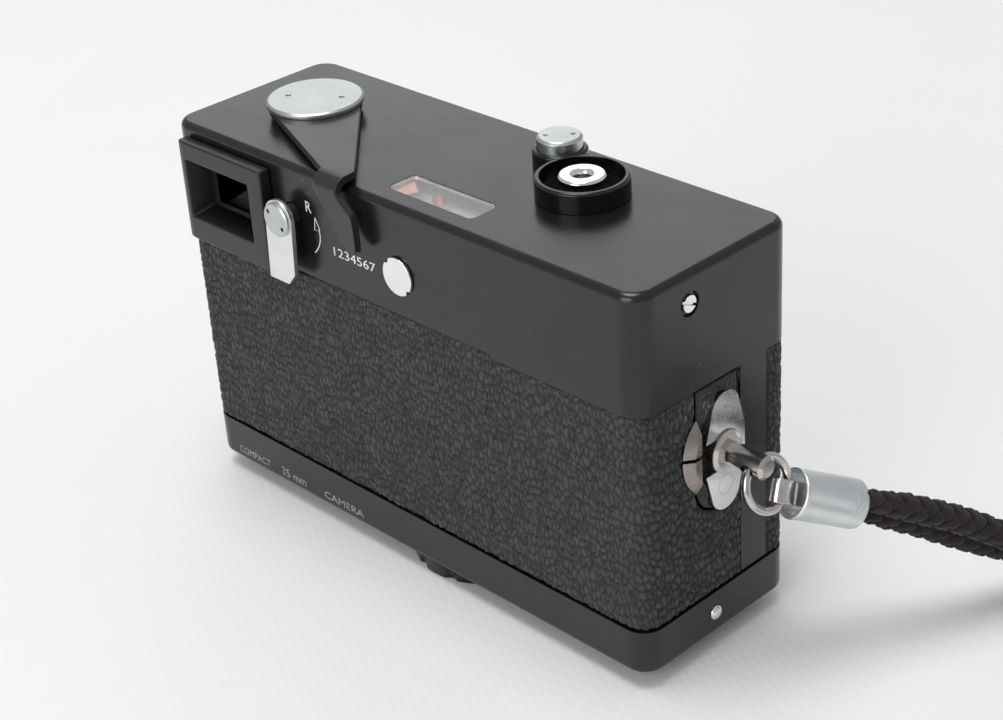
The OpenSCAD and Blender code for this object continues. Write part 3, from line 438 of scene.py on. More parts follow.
CORD_ROUTE = [
    (-63.2, -13.8, 22.0), (-64.8, -16.4, 20.8), (-67.4, -21.0, 18.4), (-70.2, -26.0, 15.6),
    (-73.2, -31.0, 12.2), (-76.4, -35.6, 8.6), (-79.8, -39.4, 5.2), (-83.8, -42.4, 2.2),
    (-88.6, -43.8, 0.2), (-93.4, -42.6, -0.4), (-96.8, -38.8, -0.4), (-98.2, -33.0, -0.4),
    (-98.4, -26.4, -0.4), (-98.2, -19.6, -0.4), (-98.0, -12.6, -0.4), (-98.2, -5.4, -0.4),
    (-98.8, 1.6, -0.4), (-101.6, 7.2, -0.4), (-107.0, 10.0, -0.4), (-113.0, 8.6, -0.4),
    (-116.8, 3.6, -0.4), (-118.2, -3.4, -0.4), (-118.6, -10.8, -0.4), (-118.6, -18.2, -0.4),
    (-118.4, -25.6, -0.4), (-117.4, -33.0, -0.4), (-114.8, -40.4, -0.4), (-110.4, -47.0, -0.4),
    (-104.4, -52.2, -0.4), (-97.4, -55.4, -0.4), (-90.2, -55.8, -0.4), (-83.6, -53.2, -0.4),
    (-78.8, -48.0, 0.8), (-75.2, -41.8, 3.4), (-71.8, -35.4, 6.6), (-68.6, -29.4, 10.2),
    (-65.6, -24.2, 13.6), (-62.8, -19.4, 16.4), (-60.2, -14.6, 19.0)]


def smooth_line(route, step):
    """Points every step millimetres on a Catmull-Rom curve through route."""
    p = np.array(route, float)
    p = np.vstack([2 * p[0] - p[1], p, 2 * p[-1] - p[-2]])
    t = np.linspace(0, 1, 40, endpoint=False)[:, None]
    fine = []
    for a, b, c, d in zip(p, p[1:], p[2:], p[3:]):
        fine.append(0.5 * (2 * b + (c - a) * t + (2 * a - 5 * b + 4 * c - d) * t ** 2
                           + (3 * b - a - 3 * c + d) * t ** 3))
    fine = np.vstack(fine + [p[-2][None]])
    run = np.concatenate([[0], np.cumsum(np.linalg.norm(np.diff(fine, axis=0), axis=1))])
    want = np.linspace(0, run[-1], int(run[-1] / step) + 1)
    return want, np.stack([np.interp(want, run, fine[:, k]) for k in range(3)], 1)


def carried_frames(line):
    """Two unit directions across the line, carried along it without twist."""
    tangent = np.gradient(line, axis=0)
    tangent /= np.linalg.norm(tangent, axis=1)[:, None]
    u = np.cross(tangent[0], (0, 0, 1.0))
    across = []
    for t in tangent:
        u = u - t * np.dot(u, t)
        u /= np.linalg.norm(u)
        across.append(u.copy())
    across = np.array(across)
    return across, np.cross(tangent, across)


def braid(name, route, pairs, pitch, middle, wave, half_wide, half_thick):
    """A round braid: pairs strands turn one way and pairs the other, over one and under one.
    It narrows towards both ends, which sit in the ferrule."""
    s, line = smooth_line(route, 0.36)
    u, v = carried_frames(line)
    sides, total = 12, s[-1]
    near_end = np.minimum(s, total - s)
    squeeze = 0.74 + 0.26 * np.clip(near_end / 7.0, 0, 1)
    phi = np.linspace(0, 2 * math.pi, sides, endpoint=False)
    verts, faces, grain = [], [], []
    swell = np.random.default_rng(5).random((2 * pairs, len(s) // 6 + 2))
    for way in (1, -1):
        for k in range(pairs):
            theta = way * 2 * math.pi * s / pitch + 2 * math.pi * k / pairs
            radial = np.cos(theta)[:, None] * u + np.sin(theta)[:, None] * v
            over = way * np.cos(2 * math.pi * pairs * s / pitch)
            centre = line + radial * ((middle + wave * over) * squeeze)[:, None]
            along = np.gradient(centre, axis=0)
            along /= np.linalg.norm(along, axis=1)[:, None]
            side = np.cross(along, radial)
            side /= np.linalg.norm(side, axis=1)[:, None]
            out = np.cross(side, along)
            base = len(verts)
            for i in range(len(s)):
                strand = swell[k + (pairs if way < 0 else 0)]
                puff = 0.86 + 0.14 * np.interp(i / 6, range(len(strand)), strand)
                ply = puff * (1 + 0.07 * np.cos(4 * phi + s[i] * 4.2 * way))
                ring = (centre[i] + side[i] * (np.cos(phi) * half_wide * squeeze[i] * ply)[:, None]
                        + out[i] * (np.sin(phi) * half_thick * squeeze[i] * ply)[:, None])
                verts.extend(ring.tolist())
                # painted shade: the stored value is lower where a strand passes under and on its inner
                # side, and the cord material darkens it there
                high = 0.5 + 0.5 * over[i]
                grain.extend((np.clip(0.15 + 0.45 * high + 0.5 * np.sin(phi), 0, 1)).tolist())
            for i in range(len(s) - 1):
                a = base + i * sides
                for j in range(sides):
                    b = (j + 1) % sides
                    faces.append([a + j, a + b, a + sides + b, a + sides + j])
            faces.append([base + j for j in range(sides - 1, -1, -1)])
            faces.append([base + (len(s) - 1) * sides + j for j in range(sides)])
    obj = piece(name, verts, faces, CORD, "strap", smooth=None,
                replaces=("wrist_cord",), outward=False)
    set_shade_height(obj, grain)
    return obj, total, line


cord, cord_length, cord_line = braid("wrist_cord_braid", CORD_ROUTE, 4, 11.6, 1.2, 0.36, 1.06, 0.66)

# ---------- grained covering ----------


def value_noise(x, y, seed):
    """Smooth noise from 0 to 1 with one value per unit."""
    table = np.random.default_rng(seed).random((257, 257))
    xi, yi = np.floor(x).astype(int), np.floor(y).astype(int)
    fx, fy = x - xi, y - yi
    fx, fy = fx * fx * (3 - 2 * fx), fy * fy * (3 - 2 * fy)
    xi, yi = xi % 256, yi % 256
    low = table[xi, yi] * (1 - fx) + table[xi + 1, yi] * fx
    high = table[xi, yi + 1] * (1 - fx) + table[xi + 1, yi + 1] * fx
    return low * (1 - fy) + high * fy


def cells(u, v, seed):
    """How far a point is from the border between its cell and the next, and its cell's number."""
    jitter = np.random.default_rng(seed).random((128, 128, 3))
    iu, iv = np.floor(u).astype(int), np.floor(v).astype(int)
    first = np.full(u.shape, 9.0)
    second = np.full(u.shape, 9.0)
    number = np.zeros(u.shape)
    for du in (-1, 0, 1):
        for dv in (-1, 0, 1):
            j = jitter[(iu + du) % 128, (iv + dv) % 128]
            d = np.hypot(iu + du + 0.1 + 0.8 * j[..., 0] - u, iv + dv + 0.1 + 0.8 * j[..., 1] - v)
            nearer = d < first
            second = np.where(nearer, first, np.minimum(second, d))
            number = np.where(nearer, j[..., 2], number)
            first = np.where(nearer, d, first)
    return second - first, number


def pebble_grain(u, v, seed):
    """Height from 0 to 1 of long leaning pebbles with smaller ones on them."""
    bend_u = 0.55 * (value_noise(u * 0.45, v * 0.35, seed + 1) - 0.5)
    bend_v = 0.9 * (value_noise(u * 0.4, v * 0.3, seed + 2) - 0.5)
    lean = u + 0.17 * v
    gap, number = cells((lean + 1.6 * bend_u) / 0.88, (v + 1.6 * bend_v) / 1.6, seed)
    big = np.clip(gap / 0.6, 0, 1)
    big = big * (2 - big)
    gap, _ = cells((lean + bend_u) / 0.5, (v + bend_v) / 0.85, seed + 5)
    small = np.clip(gap / 0.4, 0, 1)
    small = small * (2 - small)
    wander = value_noise(u * 0.8, v * 0.6, seed + 8)
    return np.clip(0.58 * big + 0.2 * small + 0.12 * number + 0.2 * wander - 0.08, 0, 1)


QUARTER = math.pi / 2 * CORNER_R
BROAD_FLAT = 2 * (HALF_W - CORNER_R)


def plan_line(s, straight):
    """Half of the body's outline from its +X side round the back; x, y and outward direction."""
    cx, cy = HALF_W - CORNER_R, HALF_D - CORNER_R
    a1 = np.clip((s - straight) / CORNER_R, 0, math.pi / 2)
    t2 = np.clip(s - straight - QUARTER, 0, BROAD_FLAT)
    a2 = np.clip((s - straight - QUARTER - BROAD_FLAT) / CORNER_R, 0, math.pi / 2)
    x = cx + CORNER_R * np.cos(a1) - t2 - CORNER_R * np.sin(a2)
    y = cy + CORNER_R * np.sin(a1) - CORNER_R * (1 - np.cos(a2))
    y = (y - np.clip(straight - s, 0, None)
         - np.clip(s - straight - 2 * QUARTER - BROAD_FLAT, 0, None))
    first_half = s < straight + QUARTER + BROAD_FLAT / 2
    nx = np.where(first_half, np.cos(a1), -np.sin(a2))
    ny = np.where(first_half, np.sin(a1), np.cos(a2))
    return x, y, nx, ny


def spread(marks, step):
    """Values through every mark, about step apart."""
    out = [marks[0]]
    for a, b in zip(marks, marks[1:]):
        n = max(1, round((b - a) / step))
        out += [a + (b - a) * (i + 1) / n for i in range(n)]
    return np.array(out)


GRID = 0.24                    # step of the covering's grid
SNAP = 0.72 * GRID             # grid points this near a cut line move onto it
FACING = 0.98                  # least share of the outward direction on a flat side
ROLL = 0.45                    # width of a sheet's rolled edge


def corner_mean(a):
    """Mean of each grid square's four corners."""
    return (a[:-1, :-1] + a[1:, :-1] + a[:-1, 1:] + a[1:, 1:]) / 4


def grained_sheet(name, node, body, y_edge, turned, marks_s, marks_z, holes, outline, seed):
    """Covering glued round half of the body: a displaced grid with cut, rolled edges.
    holes are (x, z, radius) on the broad face; outline says where else there is none."""
    straight = HALF_D - CORNER_R - y_edge
    s, z = spread(marks_s, GRID), spread(marks_z, GRID)
    S, Z = np.meshgrid(s, z, indexing="ij")
    x, y, nx, ny = plan_line(S, straight)
    sign = -1 if turned else 1
    edge = np.minimum(np.minimum(S - s[0], s[-1] - S), Z - z[0])
    x, y, nx, ny = sign * x + MIDDLE_X, sign * y, sign * nx, sign * ny
    broad = np.abs(ny) > FACING
    for hx, hz, hr in holes:
        dx, dz = x - hx, Z - hz
        r = np.hypot(dx, dz)
        near = broad & (np.abs(r - hr) < SNAP)
        x = np.where(near, hx + dx * hr / r, x)
        Z = np.where(near, hz + dz * hr / r, Z)
        edge = np.where(broad, np.minimum(edge, np.abs(np.hypot(x - hx, Z - hz) - hr)), edge)
    y, Z, extra = outline.snap(x, y, Z, nx)
    edge = np.minimum(edge, extra)
    grain = pebble_grain(S, Z, seed)
    roll = np.clip(edge / ROLL, 0, 1)
    roll = 1 - np.sqrt(np.clip(roll * (2 - roll), 0, 1))
    height = -0.42 + 0.5 * grain - 0.3 * roll
    verts = np.stack([x + nx * height, y + ny * height, Z], -1).reshape(-1, 3)
    normal = np.stack([nx, ny, 0 * nx], -1).reshape(-1, 3)
    rows = len(z)
    mx, my, mz, mn = corner_mean(x), corner_mean(y), corner_mean(Z), corner_mean(ny)
    off = outline.gone(mx, my, mz)
    for hx, hz, hr in holes:
        off |= (np.abs(mn) > FACING) & (np.hypot(mx - hx, mz - hz) < hr)
    i, j = np.nonzero(~off)
    corner = i * rows + j
    faces = np.stack([corner, corner + rows, corner + rows + 1, corner + 1], -1)
    used = np.unique(faces)
    renumber = np.full(len(verts), -1)
    renumber[used] = np.arange(len(used))
    faces = renumber[faces]
    verts, normal = verts[used], normal[used]
    grain = grain.reshape(-1)[used]
    pairs = np.vstack([faces[:, [k, (k + 1) % 4]] for k in range(4)])
    key = np.minimum(pairs[:, 0], pairs[:, 1]) * len(verts) + np.maximum(pairs[:, 0], pairs[:, 1])
    _, first, count = np.unique(key, return_index=True, return_counts=True)
    rim = pairs[first[count == 1]]
    rim_ids = np.unique(rim)
    lower = np.full(len(verts), -1)
    lower[rim_ids] = np.arange(len(rim_ids)) + len(verts)
    all_verts = np.vstack([verts, verts[rim_ids] - ROLL * normal[rim_ids]])
    all_faces = faces.tolist() + [[b, a, lower[a], lower[b]] for a, b in rim.tolist()]
    obj = piece(name, all_verts, all_faces, COVERING, body, smooth=None,
                replaces=(node,), outward=False)
    # painted shade: the grain height darkens the creases, and the rim's lower ring, set to zero, is painted
    # darkest
    set_shade_height(obj, np.concatenate([grain, 0 * rim_ids]))


LOW_Z, TOP_Z, STRIP_Z = 7.6, 42.3, 42.9
NOTCH_Y, NOTCH_Z, NOTCH_R = 0.1, 26.0, 4.7


class BackOutline:
    """Raised strip under the cover and the notch for the strap lug."""

    @staticmethod
    def depth(y, z):
        return np.hypot(y - NOTCH_Y, np.minimum(z - NOTCH_Z, 0))

    @classmethod
    def snap(cls, x, y, z, nx):
        """Moves points onto the notch's edge; also how far each is from the nearest cut."""
        side = nx < -FACING
        d = cls.depth(y, z)
        near = side & (np.abs(d - NOTCH_R) < SNAP)
        y2 = np.where(near, NOTCH_Y + (y - NOTCH_Y) * NOTCH_R / d, y)
        z2 = np.where(near & (z < NOTCH_Z), NOTCH_Z + (z - NOTCH_Z) * NOTCH_R / d, z)
        raised = (x > -20.31) & (x < 24.31) & (nx > -0.5) & (nx < 0.5)
        top = np.where(raised, STRIP_Z, TOP_Z)
        edge = np.where(side, np.abs(cls.depth(y2, z2) - NOTCH_R), 9.0)
        return y2, z2, np.minimum(edge, np.abs(top - z2))

    @classmethod
    def gone(cls, x, y, z):
        """True where the sheet is cut away."""
        raised = (x > -20.3) & (x < 24.3) & (y > 10)
        over = (z > TOP_Z) & ~raised
        notch = (x < MIDDLE_X - HALF_W + 0.2) & (cls.depth(y, z) < NOTCH_R)
        return over | notch


class FrontOutline:
    """Straight upper edge and nothing cut away but the holes."""

    @staticmethod
    def snap(x, y, z, nx):
        return y, z, np.abs(TOP_Z - z)

    @staticmethod
    def gone(x, y, z):
        return np.zeros(x.shape, bool)


BACK_EDGE, FRONT_EDGE = -4.8, 10.8
back_straight = HALF_D - CORNER_R - BACK_EDGE
front_straight = HALF_D - CORNER_R - FRONT_EDGE
back_start = back_straight + QUARTER + HALF_W - CORNER_R
side_start = back_straight + 2 * QUARTER + BROAD_FLAT
grained_sheet("back_covering", "back_leather", "back", BACK_EDGE, False,
              [0, back_straight, back_straight + QUARTER, back_start - 24.3 + MIDDLE_X,
               back_start + 20.3 + MIDDLE_X,
               side_start - QUARTER, side_start, side_start + HALF_D - CORNER_R - NOTCH_Y - NOTCH_R,
               side_start + HALF_D - CORNER_R - NOTCH_Y + NOTCH_R, side_start + back_straight],
              [LOW_Z, TOP_Z, STRIP_Z], [], BackOutline, 11)
grained_sheet("front_covering", "front_leather", "camera_body", FRONT_EDGE, True,
              [0, front_straight, front_straight + QUARTER,
               front_straight + QUARTER + BROAD_FLAT,
               front_straight + 2 * QUARTER + BROAD_FLAT,
               2 * front_straight + 2 * QUARTER + BROAD_FLAT],
              [LOW_Z, TOP_Z], [(0, LENS_Z, 15.9), (DIAL_X, DIAL_Z, 11.5), (-DIAL_X, DIAL_Z, 11.5)],
              FrontOutline, 23)


def lug_patch():
    """Covering on the casting's pad, inside the shell's notch."""
    low, high, half, face_x = 21.75, 41.9, 4.25, -48.12
    zs, ts = np.linspace(low, high, 90), np.linspace(-1, 1, 38)
    drop = np.clip(NOTCH_Z - zs, 0, None)
    width = np.sqrt(np.clip(half ** 2 - drop ** 2, 0.01, None))
    y = NOTCH_Y + np.outer(width, ts)
    z = np.outer(zs, np.ones(len(ts)))
    grain = pebble_grain(y + 40, z, 37)
    edge = np.minimum(width[:, None] * (1 - np.abs(ts)), (high - zs)[:, None])
    edge = np.minimum(edge, np.abs(half - np.hypot(y - NOTCH_Y, np.minimum(z - NOTCH_Z, 0))))
    roll = np.clip(edge / 0.4, 0, 1)
    x = face_x - 0.34 * grain * roll - 0.05
    rows, cols = x.shape
    verts = np.stack([x, y, z], -1).reshape(-1, 3).tolist()
    faces = [[i * cols + j, i * cols + j + 1, (i + 1) * cols + j + 1, (i + 1) * cols + j]
             for i in range(rows - 1) for j in range(cols - 1)]
    rim = (list(range(cols)) + [i * cols + cols - 1 for i in range(1, rows)]
           + [(rows - 1) * cols + j for j in range(cols - 2, -1, -1)]
           + [i * cols for i in range(rows - 2, 0, -1)])
    under = list(range(len(verts), len(verts) + len(rim)))
    verts += [[face_x + 0.02, verts[k][1], verts[k][2]] for k in rim]
    for k in range(len(rim)):
        n = (k + 1) % len(rim)
        faces.append([rim[k], rim[n], under[n], under[k]])
    faces.append(under)
    obj = piece("lug_pad_covering", verts, faces, COVERING, "camera_body",
                smooth=None)
    set_shade_height(obj, np.full(len(obj.data.vertices), 0.6))


lug_patch()

# ---------- wind lever ----------


def lever():
    """Flat arm that narrows to a neck, rolls over the rear edge and ends in the finger tab."""
    z_mid, fold_r, fold_y = 62.1, 1.5, 16.45
    rows = []
    for t in np.linspace(0, 1, 9):
        rows.append(((25.1 - 17.6 * t, -2.2 + 16.6 * t, z_mid), (34 - 21.5 * t, 7.6 + 8.8 * t, z_mid)))
    rows.append(((7.35, 15.6, z_mid), (12.4, 16.45, z_mid)))
    for a in np.linspace(0, 90, 7)[1:]:
        c, q = math.cos(math.radians(a)), math.sin(math.radians(a))
        y, z = fold_y + fold_r * q, z_mid - fold_r * (1 - c)
        rows.append(((7.3 - 0.05 * q, y - 0.2 * (1 - q), z), (12.35 - 0.1 * q, y, z)))
    right = [(60.2, 7.15), (59.8, 6.9), (59.3, 6.4), (58.7, 5.6), (58.2, 4.9), (57.6, 4.35),
             (56.6, 4.15), (55.2, 4.05), (53.6, 3.95), (52.4, 3.95), (51.85, 4.25)]
    left = [(60.2, 12.1), (59.7, 11.75), (59.1, 11.3), (58.5, 10.85), (57.6, 10.3), (56.6, 9.7),
            (55.4, 8.95), (54.2, 8.05), (53.0, 6.9), (52.1, 5.75), (51.7, 4.95)]
    for (zr, xr), (zl, xl) in zip(right, left):
        rows.append(((xr, fold_y + fold_r, zr), (xl, fold_y + fold_r, zl)))
    across = 8
    verts, faces = [], []
    for a, b in rows:
        for k in range(across + 1):
            t = k / across
            verts.append(tuple((1 - t) * p + t * q for p, q in zip(a, b)))
    for i in range(len(rows) - 1):
        for k in range(across):
            a = i * (across + 1) + k
            faces.append([a, a + 1, a + across + 2, a + across + 1])
    obj = piece("wind_lever_arm", verts, faces, LEVER_PAINT, "wind_lever",
                smooth=None, replaces=("wind_lever",))
    sheet = obj.modifiers.new("sheet", "SOLIDIFY")
    sheet.thickness = 0.0012
    sheet.offset = 0
    rounded(obj, 0.00022, 3, 50)


lever()
lathe("wind_lever_hub", [(0, 61.5), (7.2, 61.5), (7.3, 61.6), (7.3, 62.6), (7.2, 62.7), (0, 62.7)],
      Matrix.Translation((32.6, 0.5, 0)), LEVER_PAINT, "wind_lever")

# ---------- strap hardware ----------

strap_s = Vector((-0.35, -0.83, -0.43)).normalized()
turn, swing, hook_turn = math.radians(19), math.radians(20), math.radians(-30)
hole_dir = Vector((0, math.cos(turn), -math.sin(turn)))
hang_dir = Vector((-math.sin(swing), -math.cos(swing) * math.sin(turn),
                   -math.cos(swing) * math.cos(turn)))
RING_R, RING_WIRE_R = 3.85, 0.65
ring_at = Vector((-54.8, 0.1, 31.4)) + RING_R * hang_dir
hook_at = ring_at + RING_R * (math.cos(hook_turn) * hang_dir + math.sin(hook_turn) * hole_dir)
ring_tangent = math.cos(hook_turn) * hole_dir - math.sin(hook_turn) * hang_dir
strap_w = (ring_tangent - ring_tangent.dot(strap_s) * strap_s).normalized()
along_strap = frame_of(strap_w, strap_s.cross(strap_w), hook_at + 0.9 * strap_s)
ferrule = [(0, 3.0), (3.0, 3.0), (3.02, 0.5), (3.1, 0.15), (3.3, 0.0), (3.5, 0.02), (3.64, 0.14),
           (3.68, 0.35), (3.68, 0.7), (3.64, 0.8), (3.65, 8.2)]
for groove in (8.4, 9.2, 10.0):
    ferrule += [(3.65, groove - 0.09), (3.615, groove - 0.03),
                (3.615, groove + 0.03), (3.65, groove + 0.09)]
ferrule += [(3.65, 10.7), (3.6, 10.92), (3.45, 11.06), (3.2, 11.06), (3.03, 10.9),
            (3.0, 10.4), (0, 10.4)]
lathe("strap_ferrule_turned", ferrule, along_strap, FERRULE, "strap",
      sides=96, replaces=("strap_ferrule",), smooth=50.0)

# wire ring wound twice, so that a fine line runs round it
ring_place = frame_of(hole_dir, hang_dir, ring_at)
coil = []
for k in range(29):
    a = 2 * math.pi * k / 28
    r = RING_WIRE_R * (1 - 0.13 * math.exp(-(((a / math.pi + 1) % 2 - 1) / 0.09) ** 2))
    coil.append((RING_R + r * math.cos(a), r * math.sin(a)))
lathe("strap_ring_wire", coil, ring_place, NICKEL, "strap_ring", sides=96,
      replaces=("strap_ring",), smooth=None)

# domed screws in the base plate's wall
dome = [(0, 0.5), (0.45, 0.46), (0.8, 0.34), (1.05, 0.16), (1.18, -0.05), (1.2, -0.4), (0, -0.4)]
for side, name in ((-1, "left"), (1, "right")):
    screw_place = frame_of((0, 1, 0), (0, 0, side), (MIDDLE_X + side * HALF_W, 0.9, 3.6))
    lathe("base_screw_" + name, dome[::-1], screw_place, BRIGHT_CHROME, "back", sides=40,
          replaces=("bottom_screws",) if side < 0 else ())

# ---------- finder ----------


def rounded_rect(w, h, r, n=5):
    """Outline of a rectangle with corners of n steps each."""
    out = []
    for cx, cy, start in ((w / 2 - r, h / 2 - r, 0), (-w / 2 + r, h / 2 - r, 90),
                          (-w / 2 + r, -h / 2 + r, 180), (w / 2 - r, -h / 2 + r, 270)):
        for k in range(n + 1):
            a = math.radians(start + 90 * k / n)
            out.append((cx + r * math.cos(a), cy + r * math.sin(a)))
    return out


def loft(name, rings, material, body, closed_ends=False, smooth=35.0, replaces=()):
    """Skin over rings of points with the same count."""
    count = len(rings[0])
    verts = [p for ring in rings for p in ring]
    faces = []
    for i in range(len(rings) - 1):
        for k in range(count):
            a, b = i * count + k, i * count + (k + 1) % count
            faces.append([a, b, b + count, a + count])
    if closed_ends:
        faces.append(list(range(count - 1, -1, -1)))
        faces.append([(len(rings) - 1) * count + k for k in range(count)])
    return piece(name, verts, faces, material, body, smooth, replaces)


def finder_ring(w, h, r, y):
    return [(FINDER_X + p[0], y, FINDER_Z + p[1]) for p in rounded_rect(w, h, r)]


funnel = [finder_ring(15.2, 9.5, 0.35, 18.2), finder_ring(14.9, 9.2, 0.4, 17.9),
          finder_ring(12.6, 7.3, 0.5, 14.6), finder_ring(10.4, 6.0, 0.6, 14.45),
          finder_ring(10.4, 6.0, 0.6, 12.2), finder_ring(15.25, 9.55, 0.35, 12.2)]
loft("finder_funnel", funnel + [funnel[0]], FUNNEL, "camera_body")
# painted shade: the eye glass is opaque dark plastic in place of the dark finder inside seen through it
eye_front, eye_back = ([(FINDER_X + x * 0.99, y, FINDER_Z + z * 0.99)
                        for x, z in rounded_rect(10.4, 6, 0.6)] for y in (13.7, 12.9))
loft("finder_eye_glass", [eye_back, eye_front], EYEPIECE_SHADE, "camera_body", True)

# ---------- meter window ----------

METER = Matrix.Translation((-5.8, 9.6, 0))
WINDOW_W, WINDOW_H, WINDOW_R, BORDER = 17.3, 5.3, 0.9, 0.22
BORDER_LOW, BORDER_HIGH = 59.75, 59.88
outer = rounded_rect(WINDOW_W, WINDOW_H, WINDOW_R)
inner = rounded_rect(WINDOW_W - 2 * BORDER, WINDOW_H - 2 * BORDER, WINDOW_R - BORDER)
ring_pts = [[tuple(METER @ Vector((x, y, z))) for x, y in loop]
            for z, loop in ((BORDER_LOW, outer), (BORDER_HIGH, outer), (BORDER_HIGH, inner),
                            (BORDER_LOW, inner), (BORDER_LOW, outer))]
loft("meter_border", ring_pts, METER_BORDER, "camera_body")
# the scale is seen slantwise through the window, so its face reaches past the window
for name, outline, height, material in (
        ("meter_face", [(-9.6, -6.8), (13.4, -6.8), (13.4, 3.6), (-9.6, 3.6)], 57.42, METER_SCALE),
        ("meter_range", [(5.2, -0.2), (9.2, -2.8), (10.4, -3.1), (10.4, 2.2), (6.4, 2.2)],
         59.3, METER_RANGE)):
    marks, mark_faces = prisms([outline], METER @ Matrix.Translation((0, 0, height)), 0.06)
    piece(name, marks, mark_faces, material, "camera_body")

# ---------- release spring ----------

# a helix in place of the CAD's separate turns
SPRING_X, SPRING_Y, SPRING_LOW, SPRING_HIGH = -21.2, -3.2, 54.2, 59.36
wire_r, coil_r, turns, steps, sides = 0.22, 2.3, 5, 32, 10
rings = []
for k in range(turns * steps + 1):
    a = 2 * math.pi * k / steps
    z = SPRING_LOW + wire_r + (SPRING_HIGH - SPRING_LOW - 2 * wire_r) * k / (turns * steps)
    rings.append([(SPRING_X + (coil_r + wire_r * math.cos(b)) * math.cos(a),
                   SPRING_Y + (coil_r + wire_r * math.cos(b)) * math.sin(a),
                   z + wire_r * math.sin(b))
                  for b in (2 * math.pi * j / sides for j in range(sides))])
spring = loft("release_spring_coil", rings, STEEL, "camera_body", True,
              replaces=("release_spring",))
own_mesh(spring)

# ---------- markings ----------


def on_back(x, z):
    """Where a figure stands on the back face, readable from behind."""
    return frame_of((-1, 0, 0), (0, 0, 1), (x, HALF_D + 0.005, z))


lettering("rear_figures", [("R", on_back(17.15, 54.82), 1.25, 1.75),
                           ("1234567", on_back(7.5, 49.1), 9.3, 1.45)],
          WHITE_MARK, "camera_body")
arrow = [stroke([(-15.85, 53.5), (-16.2, 51.3), (-14.95, 51.62), (-15.85, 53.5)], 0.15),
         stroke([(-15.15, 51.55), (-15.05, 50.8), (-15.12, 49.9), (-15.45, 49.0), (-16.0, 48.15),
                 (-16.7, 47.4)], 0.17)]
marks, mark_faces = prisms(arrow, frame_of((1, 0, 0), (0, 0, 1), (0, HALF_D + 0.035, 0))
                           @ Matrix.Scale(-1, 4, (1, 0, 0)), 0.03)
piece("rear_arrow", marks, mark_faces, WHITE_MARK, "camera_body")
lettering("base_figures", [("COMPACT", on_back(39.7, 2.1), 8.2, 1.3),
                           ("35 mm", on_back(29.4, 2.2), 6.2, 1.55),
                           ("CAMERA", on_back(16.8, 2.1), 9.6, 1.3)],
          GREY_MARK, "back")


def on_dial(x, turn, radius=7.6):
    """Where a figure stands on the flat rim of a front dial."""
    c, q = math.cos(turn), math.sin(turn)
    return frame_of((c, 0, -q), (q, 0, c), (x + radius * q, -HALF_D - 4.905, DIAL_Z + radius * c))


def dial_figures(name, body, x, figures):
    """Figures round a front dial's rim, one every 30 degrees."""
    lettering(name, [(text, on_dial(x, math.radians(30 * i)), None, 1.0)
                     for i, text in enumerate(figures)], WHITE_MARK, body)


dial_figures("aperture_figures", "aperture_dial", DIAL_X,
             ["3.5", "4", "5.6", "8", "11", "16", "22"])
dial_figures("speed_figures", "speed_dial", -DIAL_X,
             ["B", "2", "4", "8", "15", "30", "60", "125", "250", "500"])
lettering("film_speed_figures",
          [(text, on_dial(DIAL_X, math.radians(turned), 4.4) @ Matrix.Translation((0, 0, -0.2)),
            None, 1.1) for turned, text in ((0, "100"), (180, "400"))],
          BLACK_MARK, "film_speed_disc")

# ---------- CAD nodes: materials and edges ----------

LOOKS = {
    "front_casting": (BLACK_PAINT, 0.0001), "film_chassis": (BLACK_INSIDE, 0),
    "top_cover": (BLACK_PAINT, 0.0001), "cover_screws": (BRIGHT_CHROME, 0.00006),
    "finder_bezel": (BLACK_PLASTIC, 0.0007), "finder_housing": (BLACK_INSIDE, 0),
    "finder_glass": (WINDOW_GLASS, 0), "meter_window": (METER_GLASS, 0),
    "meter_movement": (METER_SCALE, 0), "photocell_window": (PHOTOCELL, 0.0002),
    "battery": (STEEL, 0.0001), "adjuster_cover": (BRIGHT_CHROME, 0.0001),
    "release_collar": (BLACK_TRIM, 0.0001), "lock_collar": (BLACK_TRIM, 0.00008),
    "lens_mount": (SATIN_CHROME, 0.00008), "dial_bases": (SATIN_CHROME, 0.0001),
    "lug_plate": (BRIGHT_CHROME, None), "lug_screws": (BRIGHT_CHROME, None),
    "strap_post": (NICKEL, None), "counter_window": (WINDOW_GLASS, 0.0001),
    "wind_cap": (SATIN_CHROME, 0.00006), "wind_gear": (BRASS, 0), "sprocket": (STEEL, 0),
    "take_up_spool": (BLACK_PLASTIC, 0), "release_button": (BRIGHT_CHROME, 0.00008),
    "lock_button": (SATIN_CHROME, 0.00006),
    "rewind_switch": (BRUSHED, 0.0001), "switch_cap": (SATIN_CHROME, 0.00005),
    "lens_carriage": (STEEL, 0), "lens_tube": (SATIN_CHROME, 0.0001),
    "shutter_unit": (BLACK_INSIDE, 0), "rear_lens": (LENS_GLASS, 0),
    "focus_ring": (SATIN_CHROME, 0.00006), "front_cell": (BLACK_PAINT, 0.0001),
    "front_lens": (LENS_GLASS, 0), "speed_dial": (BLACK_PAINT, 0.00006),
    "film_reminder": (SATIN_CHROME, 0.00006), "aperture_dial": (BLACK_PAINT, 0.00006),
    "film_speed_disc": (SATIN_CHROME, 0.00006), "meter_needle": (SALMON, 0),
    "match_needle": (SALMON, 0), "counter_dial": (DIAL_WHITE, 0),
    "rewind_crank": (SATIN_CHROME, 0.0001), "crank_handle": (SATIN_CHROME, 0.00015),
    "back_shell": (BLACK_PAINT, 0), "bottom_plate": (BLACK_PAINT, 0.0001),
    "accessory_shoe": (STEEL, 0.0001), "pressure_plate": (BLACK_INSIDE, 0.0001),
    "tripod_bush": (STEEL, 0.0001), "lock_key": (BLACK_TRIM, 0.0002),
    "lug_trim": (DARK_NICKEL, 0.0002), "strap_tongue": (NICKEL, 0.00015),
}
for node, (material, width) in LOOKS.items():
    cad_look(node, material, width)


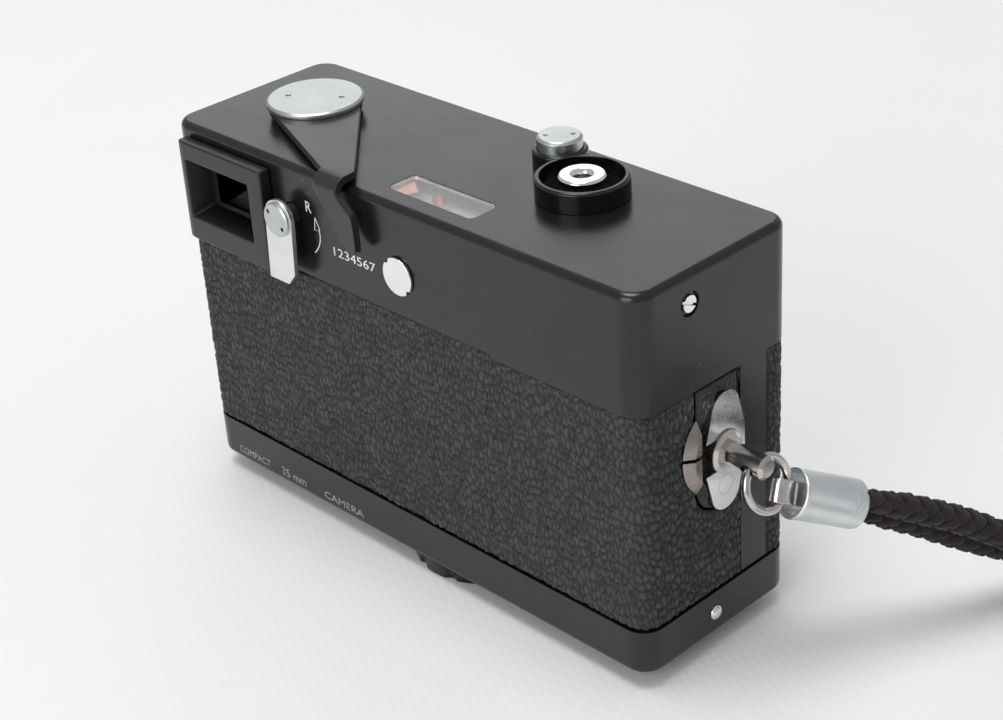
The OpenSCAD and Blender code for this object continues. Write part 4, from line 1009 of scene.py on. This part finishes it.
def second_material(node, material, chosen):
    """Another material for the faces whose middle has chosen(x, y, z) True."""
    mesh = NODES[node].data
    mesh.materials.append(material)
    for polygon in mesh.polygons:
        if chosen(*(polygon.center * 1000 - BODY_AT)):
            polygon.material_index = 1


# painted shade: the switch's shaft, behind the lever plate where shade falls, is coloured flat black
second_material("rewind_switch", BLACK_INSIDE, lambda x, y, z: y < HALF_D + 1.9)
second_material("strap_post", DARK_NICKEL, lambda x, y, z: x > -50.05)

# ---------- floor and light ----------


def paper():
    """White paper with a faint woven texture."""
    n = Nodes("paper")
    colour = n.ramp(n.noise(5, 3), (0.3, (0.80, 0.795, 0.79)), (0.75, (0.83, 0.828, 0.825)))
    for turned in (0, math.pi / 2):
        wave = n.node("TexWave", Scale=210, Distortion=0.8,
                      Vector=n.stretched((1, 1, 1), (0, 0, turned + 0.5)))
        n.bump(wave.outputs["Fac"], 0.05, 0.0003)
    return n.done(Base_Color=colour, Roughness=n.span(n.noise(40, 2), 0.7, 0.85))


floor_mesh = bpy.data.meshes.new("floor")
reach = 3.0
floor_mesh.from_pydata([(-reach, -reach, 0), (reach, -reach, 0), (reach, reach, 0), (-reach, reach, 0)],
                       [], [[0, 1, 2, 3]])
floor_mesh.materials.append(paper())
floor = bpy.data.objects.new("floor", floor_mesh)
bpy.context.scene.collection.objects.link(floor)
floor.location.z = -0.00005

world = bpy.data.worlds.new("studio")
world.use_nodes = True
world.node_tree.nodes["Background"].inputs["Color"].default_value = (0.93, 0.96, 1.0, 1)
world.node_tree.nodes["Background"].inputs["Strength"].default_value = 0.48
bpy.context.scene.world = world
bpy.context.scene.view_settings.view_transform = "Standard"


def softbox(name, place, target, size, power, colour):
    """A round area light; place, target and size are in metres."""
    data = bpy.data.lights.new(name, "AREA")
    data.shape = "DISK"
    data.size = size
    data.energy = power
    data.color = colour
    obj = bpy.data.objects.new(name, data)
    bpy.context.scene.collection.objects.link(obj)
    obj.location = place
    obj.rotation_mode = "QUATERNION"
    obj.rotation_quaternion = (Vector(target) - Vector(place)).to_track_quat("-Z", "Y")


softbox("overhead", (0.12, 0.12, 1.3), (0, 0, 0.03), 0.8, 9.5, (1, 0.99, 0.97))
softbox("front", (1.25, -1.15, 0.95), (0, 0, 0.05), 1.3, 3.7, (1, 1, 0.99))
softbox("rear", (-0.2, 1.2, 0.5), (0, 0, 0.03), 1.0, 7.8, (0.97, 0.98, 1))
